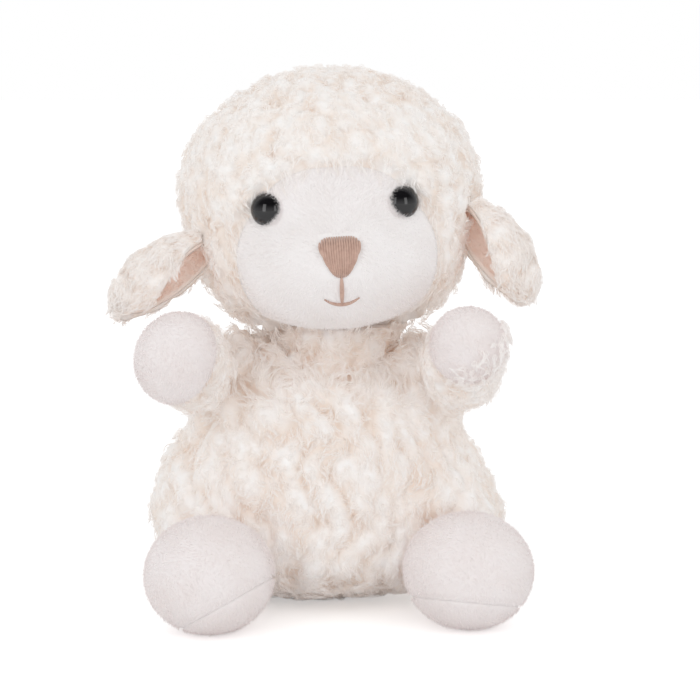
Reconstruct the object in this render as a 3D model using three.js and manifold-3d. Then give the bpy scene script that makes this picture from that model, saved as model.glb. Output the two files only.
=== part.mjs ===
// A seated plush lamb: curly fleece body and head, smooth plush face, paws and feet, folded ears.
// Millimetres, +Z up. The lamb faces -Y, so its own left side is at +X. The origin is on the floor,
// in the middle of the seat.
import * as THREE from "three";
import { mergeVertices } from "three/addons/utils/BufferGeometryUtils.js";
import Module from "manifold-3d";

const wasm = await Module();
wasm.setup();

// Fabrics, each with its backing and its pile
const bodyPile = 7;
const headPile = 6;
const armPile = 6;
const earPile = 4;
const shortPile = 2.5;
const liningPile = 2;

// Clearances
const fit = 0.3; // between pieces that lie against each other
const play = 0.65; // round a ball or bead that turns in its seat
const swingRoom = 1; // between a moving piece and its neighbour, over the whole travel

// Body: a belly over a broad seat, a chest, a shoulder over each arm and a thigh over each foot
const belly = { centre: [-3, 2, 38.5], radii: [54.5, 40, 35] };
const seat = { centre: [-2, 1, 19.4], radii: [48, 37, 17] };
const chest = { centre: [-2, -2, 63], radii: [37.5, 30, 22] };
const shoulder = { centre: [30, -3, 71], radii: [14, 15, 15.5] };
const thigh = { centre: [36, -8, 27], radii: [21.5, 21, 20.5] };
const bodyFillet = 14;
const bodyMiddle = [0, 0, 42];
const pelletHeight = 20; // level of the pellets in the seat

// Neck: a firm ball in a collar of the body fleece
const neckPlace = [2.5, 0, 84];
const neckBall = 14;
const collarHeight = 8; // of the collar's rim above the ball's middle
const collarRadius = neckBall + play + bodyPile;
const neckFunnel = 42; // degrees from upright, of the stuffing that reaches down to the ball
const turnRange = [-12, 12]; // degrees, positive to the lamb's left
const nodRange = [-10, 12]; // positive looks up

// Head, from the middle of the neck ball; sizes of its lobes are those of the stuffing inside
const headRoll = 3; // degrees, the lamb's left side higher
const headYaw = 3; // degrees, looking to its left
const skull = { centre: [0, 0, 50.5], radii: [43.3, 37, 33.6] };
const jowl = { centre: [0, -4, 31], radii: [37, 30, 20] };
const cheek = { centre: [0, -27, 29], radii: [29, 19, 16.5] };
const snout = { centre: [0, -36, 32], radii: [14, 16.5, 11] };
const headFillet = 9;
const headMiddle = [0, -4, 42];

// Outline of the face panel, seen from the front: half of it, from the brow down to the chin
const faceHalf = [
  [0, 60.5],
  [12, 59.5],
  [19.5, 55.5],
  [25, 48],
  [31, 38],
  [31.5, 30],
  [29.5, 22],
  [24, 13.5],
  [13, 6],
  [0, 4],
];
const faceDepth = 6; // how far in front of the neck's middle the face panel ends

// Eyes, nose and mouth
const eyeSpread = 21.2; // of each eye from the middle of the face
const eyeHeight = 48.4;
const eyeRadius = 5.3;
const eyeDome = 4.2;
const stemRadius = 1.5;
const stemLength = 10;
const stemSpare = 1; // how much longer its hole is at each end
const washerRadius = 6;
const washerThick = 1.2;
const washerDish = 0.8; // how much deeper its rim lies, because the face is round
const noseTop = 40.2;
const noseHalf = 6.6;
const noseDrop = 12.5;
const noseArch = 0.8; // of its top edge
const noseCorner = { along: 2, sag: 0.2 }; // rounding of its upper corners
const noseFlank = { up: 4.5, inwards: 0.4 }; // where its sides turn in, above its point
const nosePoint = { out: 2.6, up: 0.6 }; // how broadly its point is rounded
const threadThick = 1.2;
const mouthDrop = 7.9; // of the upright stitch below the nose
const smileHalf = 5.4;
const smileRise = 2;
const smileBend = 0.3; // share of the rise that the smile has halfway out

// Ears: a folded leaf that hangs from a bead along the side of the head
const earPlace = { left: { out: 43.5, up: 46 }, right: { out: 41.8, up: 39 } };
const earForward = 17;
const earTurn = 18; // degrees that the bead follows the head round to the front
const earLength = 38;
const earHalfDepth = 10.5; // of the fold, front to back
const earHalfHeight = 14;
const earFront = [38, 104]; // degrees from the ridge of the fold to its front edge, by the head and at the tip
const earFrontShare = 0.75; // share of the ear's length in which the front edge comes down
const earBack = 134; // degrees from the ridge to its back edge
const earRootShare = 0.65; // of the full section, by the head
const earFullShare = 0.5; // share of the length at which the section is full
const earCloseShare = 0.4; // share of the length at which the section starts to close
const earTipShare = 0.15; // of the full section, at the tip
const earTipCurve = 2.4; // how roundly
const earGap = 1; // between the bead's middle and the leaf
const earBeadRadius = 3;
const earBeadLength = 13;
const earFoldDrop = 5; // of the fold's middle below the bead
const earDroop = { left: 54, right: 28 }; // degrees below level
const earRange = [-5, 35];

// Arms, along -Y from the shoulder ball before they are raised
const shoulderPlace = { out: 41, forward: 12, up: 73 };
const shoulderBall = 12.5;
const upperArm = { centre: [0, -19, 0], radii: [7.8, 17, 8.6] };
const hand = { centre: [0, -36, 0], radii: [8.7, 9.6, 8.7] };
const armFillet = 6;
const wrist = 32; // from the shoulder to the seam between sleeve and paw
const armLift = { left: 28, right: 25 }; // degrees above level
const armSpread = { left: 4, right: 9 }; // degrees outwards
const armRange = [-35, 15];

// Feet, along -Y from the hip ball
const hipPlace = { out: 37, up: 19 };
const hipForward = { left: 15, right: 21 };
const hipBall = 13;
const foot = { centre: [0, -28, -1.2], radii: [17.4, 19, 15.5] };
const footSpread = { left: 14, right: 1 }; // degrees outwards
const footFillet = 8;
const soleTilt = { left: 8, right: 30 }; // degrees, the sole's inner edge higher
const solePitch = 10; // degrees, the sole's toe end higher
const soleHeight = { left: 5, right: 3 }; // of the sole's seam in the middle of the foot
const legRange = [-8, 18];

// Tail
const tail = { centre: [0, 8, -3], radii: [8, 7, 10] };
const tailPlace = [0, 41, 36];
const tailBeadRadius = 3.5;
const tailBeadLength = 9;
const tailRange = [-8, 30];

// How finely the surfaces are faceted: rings from pole to pole, and sides round them
const coverDetail = { rings: 13, sides: 20 };
const innerDetail = { rings: 8, sides: 12 };
const faceDetail = { rings: 14, sides: 16 };
const noseDetail = { rings: 32, sides: 26 };
const limbDetail = { rings: 8, sides: 12 };
const limbInnerDetail = { rings: 6, sides: 10 };
const earDetail = { rings: 6, sides: 7 };
const eyeDetail = { rings: 6, sides: 16 };
const plugSides = 20;
const outlineSteps = 40;
const threadDetail = { steps: 8, sides: 3 };
const ballSides = 14;
const sweepStep = 10; // degrees between the places in which a neighbour is cut away

// Finishes
const finish = (color, roughness, metalness = 0) =>
  new THREE.MeshStandardMaterial({ color, roughness, metalness });
const fleece = finish("#efe9e3", 0.95);
const plush = finish("#ece6e4", 0.9);
const lining = finish("#dcc8bd", 0.9);
const fibre = finish("#f6f6f4", 1);
const pelletCloth = finish("#d8d4cc", 0.85);
const eyeBlack = finish("#0b0a0d", 0.12);
const washerWhite = finish("#e9e9e6", 0.5);
const noseThread = finish("#b09284", 0.6);

const radians = THREE.MathUtils.degToRad;

// An ellipsoid as a rule that gives a point's distance to it, less than 0 inside.
function lobe({ centre, radii }) {
  return (point) => {
    let near = 0;
    let steep = 0;
    for (let i = 0; i < 3; i++) {
      const away = (point[i] - centre[i]) / radii[i];
      near += away * away;
      steep += (away / radii[i]) ** 2;
    }
    if (steep === 0) return -Math.min(...radii);
    return (Math.sqrt(near) * (Math.sqrt(near) - 1)) / Math.sqrt(steep);
  };
}

// Forms that run into each other with a fillet, as stuffing fills the inside corners of a cover.
function filleted(fillet, ...forms) {
  return (point) =>
    forms
      .map((form) => form(point))
      .reduce((a, b) => {
        const share = Math.max(fillet - Math.abs(a - b), 0) / fillet;
        return Math.min(a, b) - (share * share * fillet) / 4;
      });
}

const round = (radius, centre = [0, 0, 0]) => lobe({ centre, radii: [radius, radius, radius] });

// How far the surface that lies `out` millimetres outside a form is from a middle, along a direction.
function reach(form, middle, direction, out) {
  const at = (d) => form(middle.map((m, i) => m + direction[i] * d)) - out;
  const step = 1.5;
  let far = step;
  while (at(far) < 0) far += step;
  let near = far - step;
  for (let i = 0; i < 24; i++) {
    const half = (near + far) / 2;
    if (at(half) < 0) near = half;
    else far = half;
  }
  return near;
}

// The closed surface that lies `out` millimetres outside a form. Its rings go round the Z axis, or the Y axis.
function skin(form, middle, out, { rings, sides }, aroundY = false) {
  const points = [];
  const addPoint = (polar, turn) => {
    const across = [Math.sin(polar) * Math.cos(turn), Math.sin(polar) * Math.sin(turn)];
    const direction = aroundY
      ? [across[1], Math.cos(polar), across[0]]
      : [across[0], across[1], Math.cos(polar)];
    const d = reach(form, middle, direction, out);
    points.push(...middle.map((m, i) => m + direction[i] * d));
  };
  addPoint(0, 0);
  for (let ring = 1; ring < rings; ring++)
    for (let side = 0; side < sides; side++)
      addPoint((Math.PI * ring) / rings, (2 * Math.PI * side) / sides);
  addPoint(Math.PI, 0);
  const last = points.length / 3 - 1;
  const faces = [];
  for (let side = 0; side < sides; side++) {
    const next = (side + 1) % sides;
    faces.push(0, 1 + side, 1 + next);
    for (let ring = 0; ring < rings - 2; ring++) {
      const upper = 1 + ring * sides;
      const lower = upper + sides;
      faces.push(lower + side, lower + next, upper + next);
      faces.push(lower + side, upper + next, upper + side);
    }
    faces.push(last, last - sides + next, last - sides + side);
  }
  return new THREE.BufferGeometry()
    .setAttribute("position", new THREE.Float32BufferAttribute(points, 3))
    .setIndex(faces);
}

// A geometry as a solid that can be joined and cut.
function solid(geometry, matrix = new THREE.Matrix4()) {
  const bare = new THREE.BufferGeometry().setAttribute(
    "position",
    geometry.getAttribute("position").clone(),
  );
  bare.setIndex(geometry.index);
  bare.applyMatrix4(matrix);
  const merged = mergeVertices(bare, 1e-4);
  if (matrix.determinant() < 0) merged.index.array.reverse();
  return new wasm.Manifold(
    new wasm.Mesh({
      numProp: 3,
      vertProperties: merged.attributes.position.array,
      triVerts: merged.index.array,
    }),
  );
}

function named(name, shape, material) {
  const made = shape.getMesh();
  const geometry = new THREE.BufferGeometry()
    .setAttribute("position", new THREE.BufferAttribute(made.vertProperties, 3))
    .setIndex(new THREE.BufferAttribute(made.triVerts, 1));
  geometry.computeVertexNormals();
  const mesh = new THREE.Mesh(geometry, material);
  mesh.name = name;
  return mesh;
}

const shift = (x, y, z) => new THREE.Matrix4().makeTranslation(x, y, z);
const ball = (radius, place = [0, 0, 0]) =>
  solid(new THREE.SphereGeometry(radius, ballSides, Math.round(ballSides * 0.6)), shift(...place));

// Everything on one side of a plane through a place, as a box far larger than the lamb. Where a group is
// given, the place and the direction are the lamb's own and the box is in the group's frame.
function beyond(place, direction, group) {
  const size = 400;
  const turn = new THREE.Quaternion().setFromUnitVectors(
    new THREE.Vector3(0, 0, 1),
    new THREE.Vector3(...direction).normalize(),
  );
  const matrix = new THREE.Matrix4()
    .compose(new THREE.Vector3(...place), turn, new THREE.Vector3(1, 1, 1))
    .multiply(shift(0, 0, size / 2));
  if (group) matrix.premultiply(group.matrixWorld.clone().invert());
  return solid(new THREE.BoxGeometry(size, size, size), matrix);
}

// A capsule in the XY plane, at degrees from the Y axis, for the bead that a small piece hinges on.
function bead(radius, length, degrees, place = [0, 0, 0]) {
  const turn = new THREE.Matrix4().makeRotationZ(radians(degrees));
  return solid(new THREE.CapsuleGeometry(radius, length, 3, 10), turn.premultiply(shift(...place)));
}

// A group at a place, turned by degrees. Its X axis points outwards, so a piece for the left side is made
// once and the right side has its mirror image.
function stand(parent, place, turns = [0, 0, 0], side = 1) {
  const group = new THREE.Group();
  group.position.set(...place);
  group.rotation.set(...turns.map(radians), "ZYX");
  group.scale.x = side;
  parent.add(group);
  group.updateWorldMatrix(true, false);
  return group;
}

// A piece, in its group's frame, without all that its neighbour takes up as the piece turns past it: by a
// range of degrees, about an axis through the group's origin or another place. The neighbour, the axis and
// the place are in the lamb's frame.
function clearOf(piece, neighbour, group, axis, range, place) {
  const origin = place
    ? new THREE.Vector3(...place)
    : new THREE.Vector3().setFromMatrixPosition(group.matrixWorld);
  const steps = Math.ceil((range[1] - range[0]) / sweepStep);
  for (let step = 0; step <= steps; step++) {
    const angle = -radians(range[0] + ((range[1] - range[0]) * step) / steps);
    const matrix = group.matrixWorld
      .clone()
      .invert()
      .multiply(shift(...origin))
      .multiply(new THREE.Matrix4().makeRotationAxis(axis, angle))
      .multiply(shift(...origin.clone().negate()));
    piece = piece.subtract(neighbour.transform(matrix.elements));
  }
  return piece;
}

const towardsLeft = new THREE.Vector3(1, 0, 0); // the lamb's own left; about it, what is behind rises
const towardsRight = new THREE.Vector3(-1, 0, 0); // about it, what is in front rises
const upwards = new THREE.Vector3(0, 0, 1);
const floor = beyond([0, 0, 0], [0, 0, -1]);
const sides = { left: 1, right: -1 };

const lamb = new THREE.Group();

// Body
const mirrored = ({ centre, radii }) => ({ centre: [-centre[0], centre[1], centre[2]], radii });
const bodyLobes = [belly, seat, chest, shoulder, mirrored(shoulder), thigh, mirrored(thigh)];
const trunk = filleted(bodyFillet, ...bodyLobes.map(lobe));
const bodyRoom = (out) => solid(skin(trunk, bodyMiddle, swingRoom + out, coverDetail));
const shoulderOf = (side) => [
  sides[side] * shoulderPlace.out,
  -shoulderPlace.forward,
  shoulderPlace.up,
];
const hipOf = (side) => [sides[side] * hipPlace.out, -hipForward[side], hipPlace.up];
const limbPlaces = Object.keys(sides).flatMap((side) => [
  { place: shoulderOf(side), size: shoulderBall },
  { place: hipOf(side), size: hipBall },
]);
const collarCut = beyond(
  [neckPlace[0], neckPlace[1], neckPlace[2] + collarHeight],
  [0, 0, 1],
);

function bodyCover() {
  let cover = solid(skin(trunk, bodyMiddle, 0, coverDetail))
    .add(ball(collarRadius, neckPlace))
    .subtract(solid(skin(trunk, bodyMiddle, -bodyPile, innerDetail)))
    .subtract(floor)
    .subtract(collarCut)
    .subtract(ball(neckBall + play, neckPlace));
  for (const { place, size } of limbPlaces) cover = cover.subtract(ball(size + play, place));
  return cover.subtract(bead(tailBeadRadius + play, tailBeadLength, 90, tailPlace));
}

function bodyFilling() {
  let filling = solid(skin(trunk, bodyMiddle, -bodyPile - fit, innerDetail)).subtract(
    ball(neckBall + play, neckPlace),
  );
  for (const { place, size } of limbPlaces)
    filling = filling.subtract(ball(size + play + fit, place));
  return filling.subtract(bead(tailBeadRadius + play + fit, tailBeadLength, 90, tailPlace));
}

const filling = bodyFilling();
lamb.add(
  named("body_fleece", bodyCover(), fleece),
  named(
    "body_stuffing",
    filling.subtract(beyond([0, 0, pelletHeight + fit], [0, 0, -1])),
    fibre,
  ),
  named("pellet_bag", filling.subtract(beyond([0, 0, pelletHeight], [0, 0, 1])), pelletCloth),
);

// Neck
const neck = stand(lamb, neckPlace);
neck.add(named("neck_stuffing", ball(neckBall), fibre));

// Head
const head = stand(neck, [0, 0, 0], [0, -headRoll, headYaw]);
const headForm = filleted(headFillet, ...[skull, jowl, cheek, snout].map(lobe));
const headSkin = (out, detail) => skin(headForm, headMiddle, out, detail, true);
const headInner = solid(headSkin(fit, innerDetail));
const neckRoom = ball(collarRadius + swingRoom);

function faceOutline(grow) {
  const half = faceHalf.map(([x, z]) => new THREE.Vector2(x, z));
  const other = faceHalf.slice(1, -1).reverse().map(([x, z]) => new THREE.Vector2(-x, z));
  const middle = new THREE.Vector2(0, (faceHalf[0][1] + faceHalf.at(-1)[1]) / 2);
  const points = [...half, ...other].map((point) => {
    const away = point.clone().sub(middle);
    return point.clone().add(away.setLength(grow));
  });
  const outline = new THREE.SplineCurve([...points, points[0]]);
  return new THREE.Shape(outline.getPoints(outlineSteps).slice(0, -1));
}

// An outline in X and Z carried along Y, from far in front to a depth.
function prism(shape, depth) {
  const length = 100;
  const geometry = new THREE.ExtrudeGeometry(shape, { depth: length, bevelEnabled: false });
  geometry.rotateX(Math.PI / 2);
  return solid(geometry, shift(0, depth, 0));
}

const headFleece = solid(headSkin(headPile + fit, coverDetail))
  .subtract(headInner)
  .subtract(prism(faceOutline(fit), fit - faceDepth))
  .subtract(neckRoom);

// The stuffing lies on the collar, and a plug of it reaches down to the neck's ball, clear of the rim.
const plugLength = skull.centre[2] / 2;
const plugRadius = plugLength * Math.tan(radians(neckFunnel));
const plug = solid(
  new THREE.ConeGeometry(plugRadius, plugLength, plugSides).rotateX(-Math.PI / 2),
  shift(0, 0, plugLength / 2),
);
const headFilling = solid(headSkin(0, innerDetail));
const headStuffing = headFilling.subtract(neckRoom).add(plug.subtract(ball(neckBall + play)));

const facePanel = solid(headSkin(shortPile + fit, faceDetail))
  .subtract(headInner)
  .intersect(prism(faceOutline(0), -faceDepth))
  .subtract(neckRoom);

// Where the face's outer surface is, at a place seen from the front, and which way it looks.
function onFace(x, z, out) {
  const from = [x, 0, z];
  const d = reach(headForm, from, [0, -1, 0], shortPile + fit + out);
  const point = [x, -d, z];
  const slope = [0, 1, 2].map((axis) => {
    const near = [...point];
    near[axis] += 0.5;
    return headForm(near) - headForm(point);
  });
  return { point, direction: new THREE.Vector3(...slope).normalize() };
}

// A round piece with its axis on Z, set up along a direction of the face.
function setInFace({ point, direction }) {
  const turn = new THREE.Quaternion().setFromUnitVectors(new THREE.Vector3(0, 0, 1), direction);
  return new THREE.Matrix4().compose(
    new THREE.Vector3(...point),
    turn,
    new THREE.Vector3(1, 1, 1),
  );
}

const lathe = (profile) =>
  new THREE.LatheGeometry(
    profile.map(([r, z]) => new THREE.Vector2(r, z)),
    eyeDetail.sides,
  ).rotateX(Math.PI / 2);

// A black dome on a stem; the stem passes the plush and the washer behind it.
function eyeShape() {
  const profile = [[0, -stemLength], [stemRadius, -stemLength], [stemRadius, 0]];
  for (let ring = 0; ring <= eyeDetail.rings; ring++) {
    const angle = (Math.PI / 2) * (ring / eyeDetail.rings);
    profile.push([eyeRadius * Math.cos(angle), eyeDome * Math.sin(angle)]);
  }
  return lathe(profile);
}

const washerDepth = shortPile + 2 * fit + washerDish; // from the eye's back to the washer
const washerShape = (grow, bore) =>
  lathe([
    [bore, -washerDepth - washerThick - grow],
    [washerRadius + grow, -washerDepth - washerThick - grow],
    [washerRadius + grow, -washerDepth + grow],
    [bore, -washerDepth + grow],
    [bore, -washerDepth - washerThick - grow],
  ]);
const reachOut = 14; // of the cuts for eyes and washers, through the cover's whole depth
const hole = (radius, depth) =>
  new THREE.CylinderGeometry(radius, radius, depth, eyeDetail.sides).rotateX(Math.PI / 2);

let cover = facePanel;
let stuffing = headStuffing;
let headCover = clearOf(headFleece, bodyRoom(0), head, towardsRight, nodRange);
for (const [sideName, side] of Object.entries(sides)) {
  const place = setInFace(onFace(side * eyeSpread, eyeHeight, fit));
  const eye = solid(eyeShape(), place);
  const stemHole = solid(hole(stemRadius + fit, 2 * (stemLength + stemSpare)), place);
  const washer = solid(washerShape(0, stemRadius + fit), place);
  // The room for the washer, which runs out through the front, and the rooms before and behind a plane
  const cleared = (radius, from) =>
    solid(hole(radius + fit, reachOut), place.clone().multiply(shift(0, 0, from + reachOut / 2)));
  const washerRoom = cleared(washerRadius, -washerDepth - washerThick - fit);
  const eyeRoom = cleared(eyeRadius, -fit);
  const behindPanel = cleared(washerRadius, fit - washerDepth - reachOut);
  cover = cover.subtract(stemHole).subtract(eyeRoom).subtract(behindPanel);
  headCover = headCover.subtract(eyeRoom);
  stuffing = stuffing.subtract(stemHole).subtract(washerRoom);
  head.add(
    named(`${sideName}_eye`, eye, eyeBlack),
    named(`${sideName}_eye_washer`, washer, washerWhite),
  );
}

// The nose: a shield with a slightly arched top, rounded shoulders and a rounded point
function noseShape() {
  const shape = new THREE.Shape();
  const low = noseTop - noseDrop;
  const { along, sag } = noseCorner;
  const flank = [noseHalf - noseFlank.inwards, low + noseFlank.up];
  const point = [nosePoint.out, low + nosePoint.up];
  shape.moveTo(-noseHalf, noseTop - along);
  shape.quadraticCurveTo(-noseHalf, noseTop - sag, -noseHalf + along, noseTop);
  shape.quadraticCurveTo(0, noseTop + noseArch, noseHalf - along, noseTop);
  shape.quadraticCurveTo(noseHalf, noseTop - sag, noseHalf, noseTop - along);
  shape.bezierCurveTo(...flank, ...point, 0, low);
  shape.bezierCurveTo(-point[0], point[1], -flank[0], flank[1], -noseHalf, noseTop - along);
  return new THREE.Shape(shape.getPoints(4).slice(0, -1));
}

const noseFront = solid(headSkin(shortPile + 2 * fit + threadThick, noseDetail));
const noseBack = solid(headSkin(shortPile + 2 * fit, noseDetail));
const nose = noseFront.subtract(noseBack).intersect(prism(noseShape(), -faceDepth));

// A thread that lies on the face through places seen from the front.
function threadOnFace(places) {
  const points = places.map(([x, z]) => new THREE.Vector3(...onFace(x, z, fit + threadThick / 2).point));
  const shape = new THREE.Shape().absarc(0, 0, threadThick / 2, 0, 2 * Math.PI);
  return solid(
    new THREE.ExtrudeGeometry(shape, {
      steps: threadDetail.steps,
      curveSegments: threadDetail.sides,
      extrudePath: new THREE.CatmullRomCurve3(points),
    }),
  );
}

const lipTop = noseTop - noseDrop - 2 * fit - threadThick / 2;
const lip = lipTop - mouthDrop;
const mouth = threadOnFace([
  [0, lipTop],
  [0, (lipTop + lip) / 2],
  [0, lip - threadThick / 4],
]).add(
  threadOnFace([
    [-smileHalf, lip + smileRise],
    [-smileHalf / 2, lip + smileRise * smileBend],
    [0, lip],
    [smileHalf / 2, lip + smileRise * smileBend],
    [smileHalf, lip + smileRise],
  ]),
);

head.add(
  named("face_panel", cover, plush),
  named("head_stuffing", stuffing, fibre),
  named("nose_embroidery", nose, noseThread),
  named("mouth_stitches", mouth, noseThread),
);

// Ears: the section is an open oval, and it swells from the bead and closes at the tip.
function earLeaf(outer, inner) {
  const { rings: along, sides: around } = earDetail;
  const points = [];
  for (let i = 0; i <= along; i++) {
    const share = i / along;
    const grown = Math.sin(Math.min(share / earFullShare, 1) * (Math.PI / 2));
    const swell = earRootShare + (1 - earRootShare) * grown;
    const closing = Math.max((share - earCloseShare) / (1 - earCloseShare), 0);
    const close = Math.sqrt(1 - (1 - earTipShare ** 2) * closing ** earTipCurve);
    const front = earFront[0] + (earFront[1] - earFront[0]) * Math.min(share / earFrontShare, 1);
    for (const depth of [outer, inner]) {
      for (let j = 0; j <= around; j++) {
        const step = depth === outer ? j : around - j;
        const angle = radians(-earBack + ((earBack + front) * step) / around);
        points.push(
          earGap + (earLength - earGap - depth) * share,
          -(earHalfDepth * swell - depth) * close * Math.sin(angle),
          (earHalfHeight * swell - depth) * close * Math.cos(angle) - earFoldDrop,
        );
      }
    }
  }
  const loop = 2 * (around + 1);
  const faces = [];
  for (let i = 0; i < along; i++)
    for (let j = 0; j < loop; j++) {
      const a = i * loop + j;
      const b = i * loop + ((j + 1) % loop);
      faces.push(a, b, b + loop, a, b + loop, a + loop);
    }
  for (let j = 0; j < around; j++) {
    const root = [j, j + 1, loop - 2 - j, loop - 1 - j];
    const tip = root.map((k) => k + along * loop);
    faces.push(root[0], root[2], root[1], root[0], root[3], root[2]);
    faces.push(tip[0], tip[1], tip[2], tip[0], tip[2], tip[3]);
  }
  return new THREE.BufferGeometry()
    .setAttribute("position", new THREE.Float32BufferAttribute(points, 3))
    .setIndex(faces);
}

const headRoom = solid(headSkin(headPile + fit + swingRoom, coverDetail), head.matrixWorld);
const headSides = {};
for (const side of Object.keys(sides)) {
  const place = [sides[side] * earPlace[side].out, -earForward, earPlace[side].up];
  const turns = [0, sides[side] * earDroop[side], -sides[side] * earTurn];
  const ear = stand(head, place, turns, sides[side]);
  const axis = new THREE.Vector3(0, -sides[side], 0).transformDirection(ear.matrixWorld);
  const leaf = clearOf(solid(earLeaf(0, earPile)), headRoom, ear, axis, earRange);
  const room = solid(earLeaf(-swingRoom, earPile + fit + liningPile));
  const drooped = new THREE.Matrix4().makeRotationY(-radians(earRange[0]));
  headSides[side] = room
    .add(room.transform(drooped.elements))
    .transform(ear.matrixWorld.elements)
    .add(headRoom);
  const inside = solid(earLeaf(earPile + fit, earPile + fit + liningPile));
  const lined = clearOf(inside, headRoom, ear, axis, earRange);
  headCover = headCover.subtract(
    bead(earBeadRadius + play, earBeadLength, -sides[side] * earTurn, place),
  );
  ear.add(
    named(`${side}_ear_fleece`, leaf.add(bead(earBeadRadius, earBeadLength, 0)), fleece),
    named(`${side}_ear_lining`, lined.subtract(bead(earBeadRadius + fit, earBeadLength, 0)), lining),
  );
}
head.add(named("head_fleece", headCover, fleece));

// A stuffed limb along -Y from the ball at its group's origin. The cover and the stuffing are cut back
// where the body is in their way, and the ball that the limb turns on is added to the cover.
function limb(group, form, middle, piles, ballRadius, range) {
  const cut = (piece, out) => clearOf(piece, bodyRoom(out), group, towardsRight, range);
  const around = (out, detail) => solid(skin(form, middle, out, detail, true));
  const hollow = cut(around(fit, limbInnerDetail), piles.cover);
  const cover = cut(around(piles.cover + fit, limbDetail), 0);
  const stuffing = cut(around(0, limbInnerDetail), piles.cover + fit);
  return {
    cover: cover.subtract(hollow).add(ball(ballRadius)),
    end: around(piles.end + fit, limbDetail).subtract(hollow),
    stuffing: stuffing.subtract(ball(ballRadius + fit)),
  };
}

// Arms
for (const side of Object.keys(sides)) {
  const arm = stand(
    lamb,
    shoulderOf(side),
    [-armLift[side], 0, sides[side] * armSpread[side]],
    sides[side],
  );
  const form = filleted(armFillet, round(shoulderBall - armPile - fit), lobe(upperArm), lobe(hand));
  const piles = { cover: armPile, end: shortPile };
  const { cover, end, stuffing } = limb(arm, form, upperArm.centre, piles, shoulderBall, armRange);
  const pastWrist = (gap) => beyond([0, -wrist - gap, 0], [0, -1, 0]);
  const clearOfHead = (piece) => {
    const raised = clearOf(piece, headSides[side], arm, towardsRight, [0, armRange[1]]);
    const nodded = clearOf(raised, headSides[side], arm, towardsLeft, nodRange, neckPlace);
    return clearOf(nodded, headSides[side], arm, upwards, turnRange, neckPlace);
  };
  arm.add(
    named(`${side}_arm_sleeve`, clearOfHead(cover.subtract(pastWrist(0))), fleece),
    named(`${side}_paw`, clearOfHead(end.intersect(pastWrist(fit))), plush),
    named(`${side}_arm_stuffing`, stuffing, fibre),
  );
}

// Feet
for (const side of Object.keys(sides)) {
  const leg = stand(lamb, hipOf(side), [0, 0, sides[side] * footSpread[side]], sides[side]);
  const form = filleted(footFillet, round(hipBall - shortPile - fit), lobe(foot));
  const piles = { cover: shortPile, end: shortPile };
  const { cover, stuffing } = limb(leg, form, foot.centre, piles, hipBall, legRange);
  const slope = [Math.tan(radians(soleTilt[side])), Math.tan(radians(solePitch)), 1];
  const seam = (gap) => [0, foot.centre[1], soleHeight[side] - hipPlace.up + gap];
  const ground = beyond([0, 0, 0], [0, 0, -1], leg);
  const whole = cover.subtract(ground);
  const under = (gap) =>
    beyond(seam(-gap), slope.map((s) => -s)).subtract(beyond([0, -hipBall - gap, 0], [0, 1, 0]));
  leg.add(
    named(`${side}_foot_upper`, whole.subtract(under(0)), plush),
    named(`${side}_foot_sole`, whole.intersect(under(fit)), plush),
    named(`${side}_foot_stuffing`, stuffing.subtract(beyond([0, 0, shortPile + fit], [0, 0, -1], leg)), fibre),
  );
}

// Tail
const tailGroup = stand(lamb, tailPlace);
const tailLobe = solid(skin(lobe(tail), tail.centre, 0, limbInnerDetail));
const tailFree = clearOf(tailLobe, bodyRoom(0), tailGroup, towardsLeft, tailRange);
tailGroup.add(
  named("tail_fleece", tailFree.add(bead(tailBeadRadius, tailBeadLength, 90)), fleece),
);

export default lamb;
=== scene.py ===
# %% [markdown]
# # A seated plush lamb
# The real toy is sewn from two fabrics: a curly fleece for the body, head, sleeves, ears and tail, and a
# short plush for the face, paws and feet. It is filled with fibre, and a bag of pellets in the seat keeps it
# upright. In this lesson each sewn piece is a smooth form worked out with numpy, and the fleece on it is
# real geometry: a surface raised in soft tufts, covered with thousands of small locks, each a bundle of fine
# tapering strands. The surface alone couldn't show strands that cross, hang over an edge or stand out
# against the light, and the strands alone would look like hair.

import math

import bpy
import numpy as np
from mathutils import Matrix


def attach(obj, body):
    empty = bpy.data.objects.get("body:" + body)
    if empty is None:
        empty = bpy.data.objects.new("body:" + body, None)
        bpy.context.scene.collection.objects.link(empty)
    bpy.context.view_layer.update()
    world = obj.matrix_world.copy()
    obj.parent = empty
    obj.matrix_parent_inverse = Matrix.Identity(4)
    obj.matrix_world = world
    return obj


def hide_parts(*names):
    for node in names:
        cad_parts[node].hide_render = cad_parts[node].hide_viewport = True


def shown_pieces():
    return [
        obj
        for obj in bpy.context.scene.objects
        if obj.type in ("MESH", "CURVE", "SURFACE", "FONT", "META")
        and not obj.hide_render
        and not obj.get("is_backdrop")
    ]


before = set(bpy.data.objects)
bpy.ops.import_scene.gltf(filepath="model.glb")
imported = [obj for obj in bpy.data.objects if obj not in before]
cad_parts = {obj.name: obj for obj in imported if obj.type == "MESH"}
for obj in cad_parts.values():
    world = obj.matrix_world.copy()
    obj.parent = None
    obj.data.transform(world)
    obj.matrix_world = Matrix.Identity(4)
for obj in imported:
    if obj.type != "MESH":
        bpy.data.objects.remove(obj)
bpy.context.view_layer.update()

# %% [markdown]
# ## Camera
# The photograph is taken from straight in front and slightly above, from about a metre away. A camera that
# looks along +Y only has to be tipped down. Its lens follows from how much of the scene the frame's width
# takes in at the toy.

# %% Camera
scene = bpy.context.scene
scene.view_settings.view_transform = "Standard"
scene.cycles.diffuse_bounces = 20
scene.cycles.max_bounces = 24

view_distance = 0.95
view_height = math.radians(8)
view_target = np.array([0.0065, 0.0, 0.082])
view_width = 0.2282  # metres across the frame, at the toy
sight = np.array([0.0, math.cos(view_height), -math.sin(view_height)])

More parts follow.
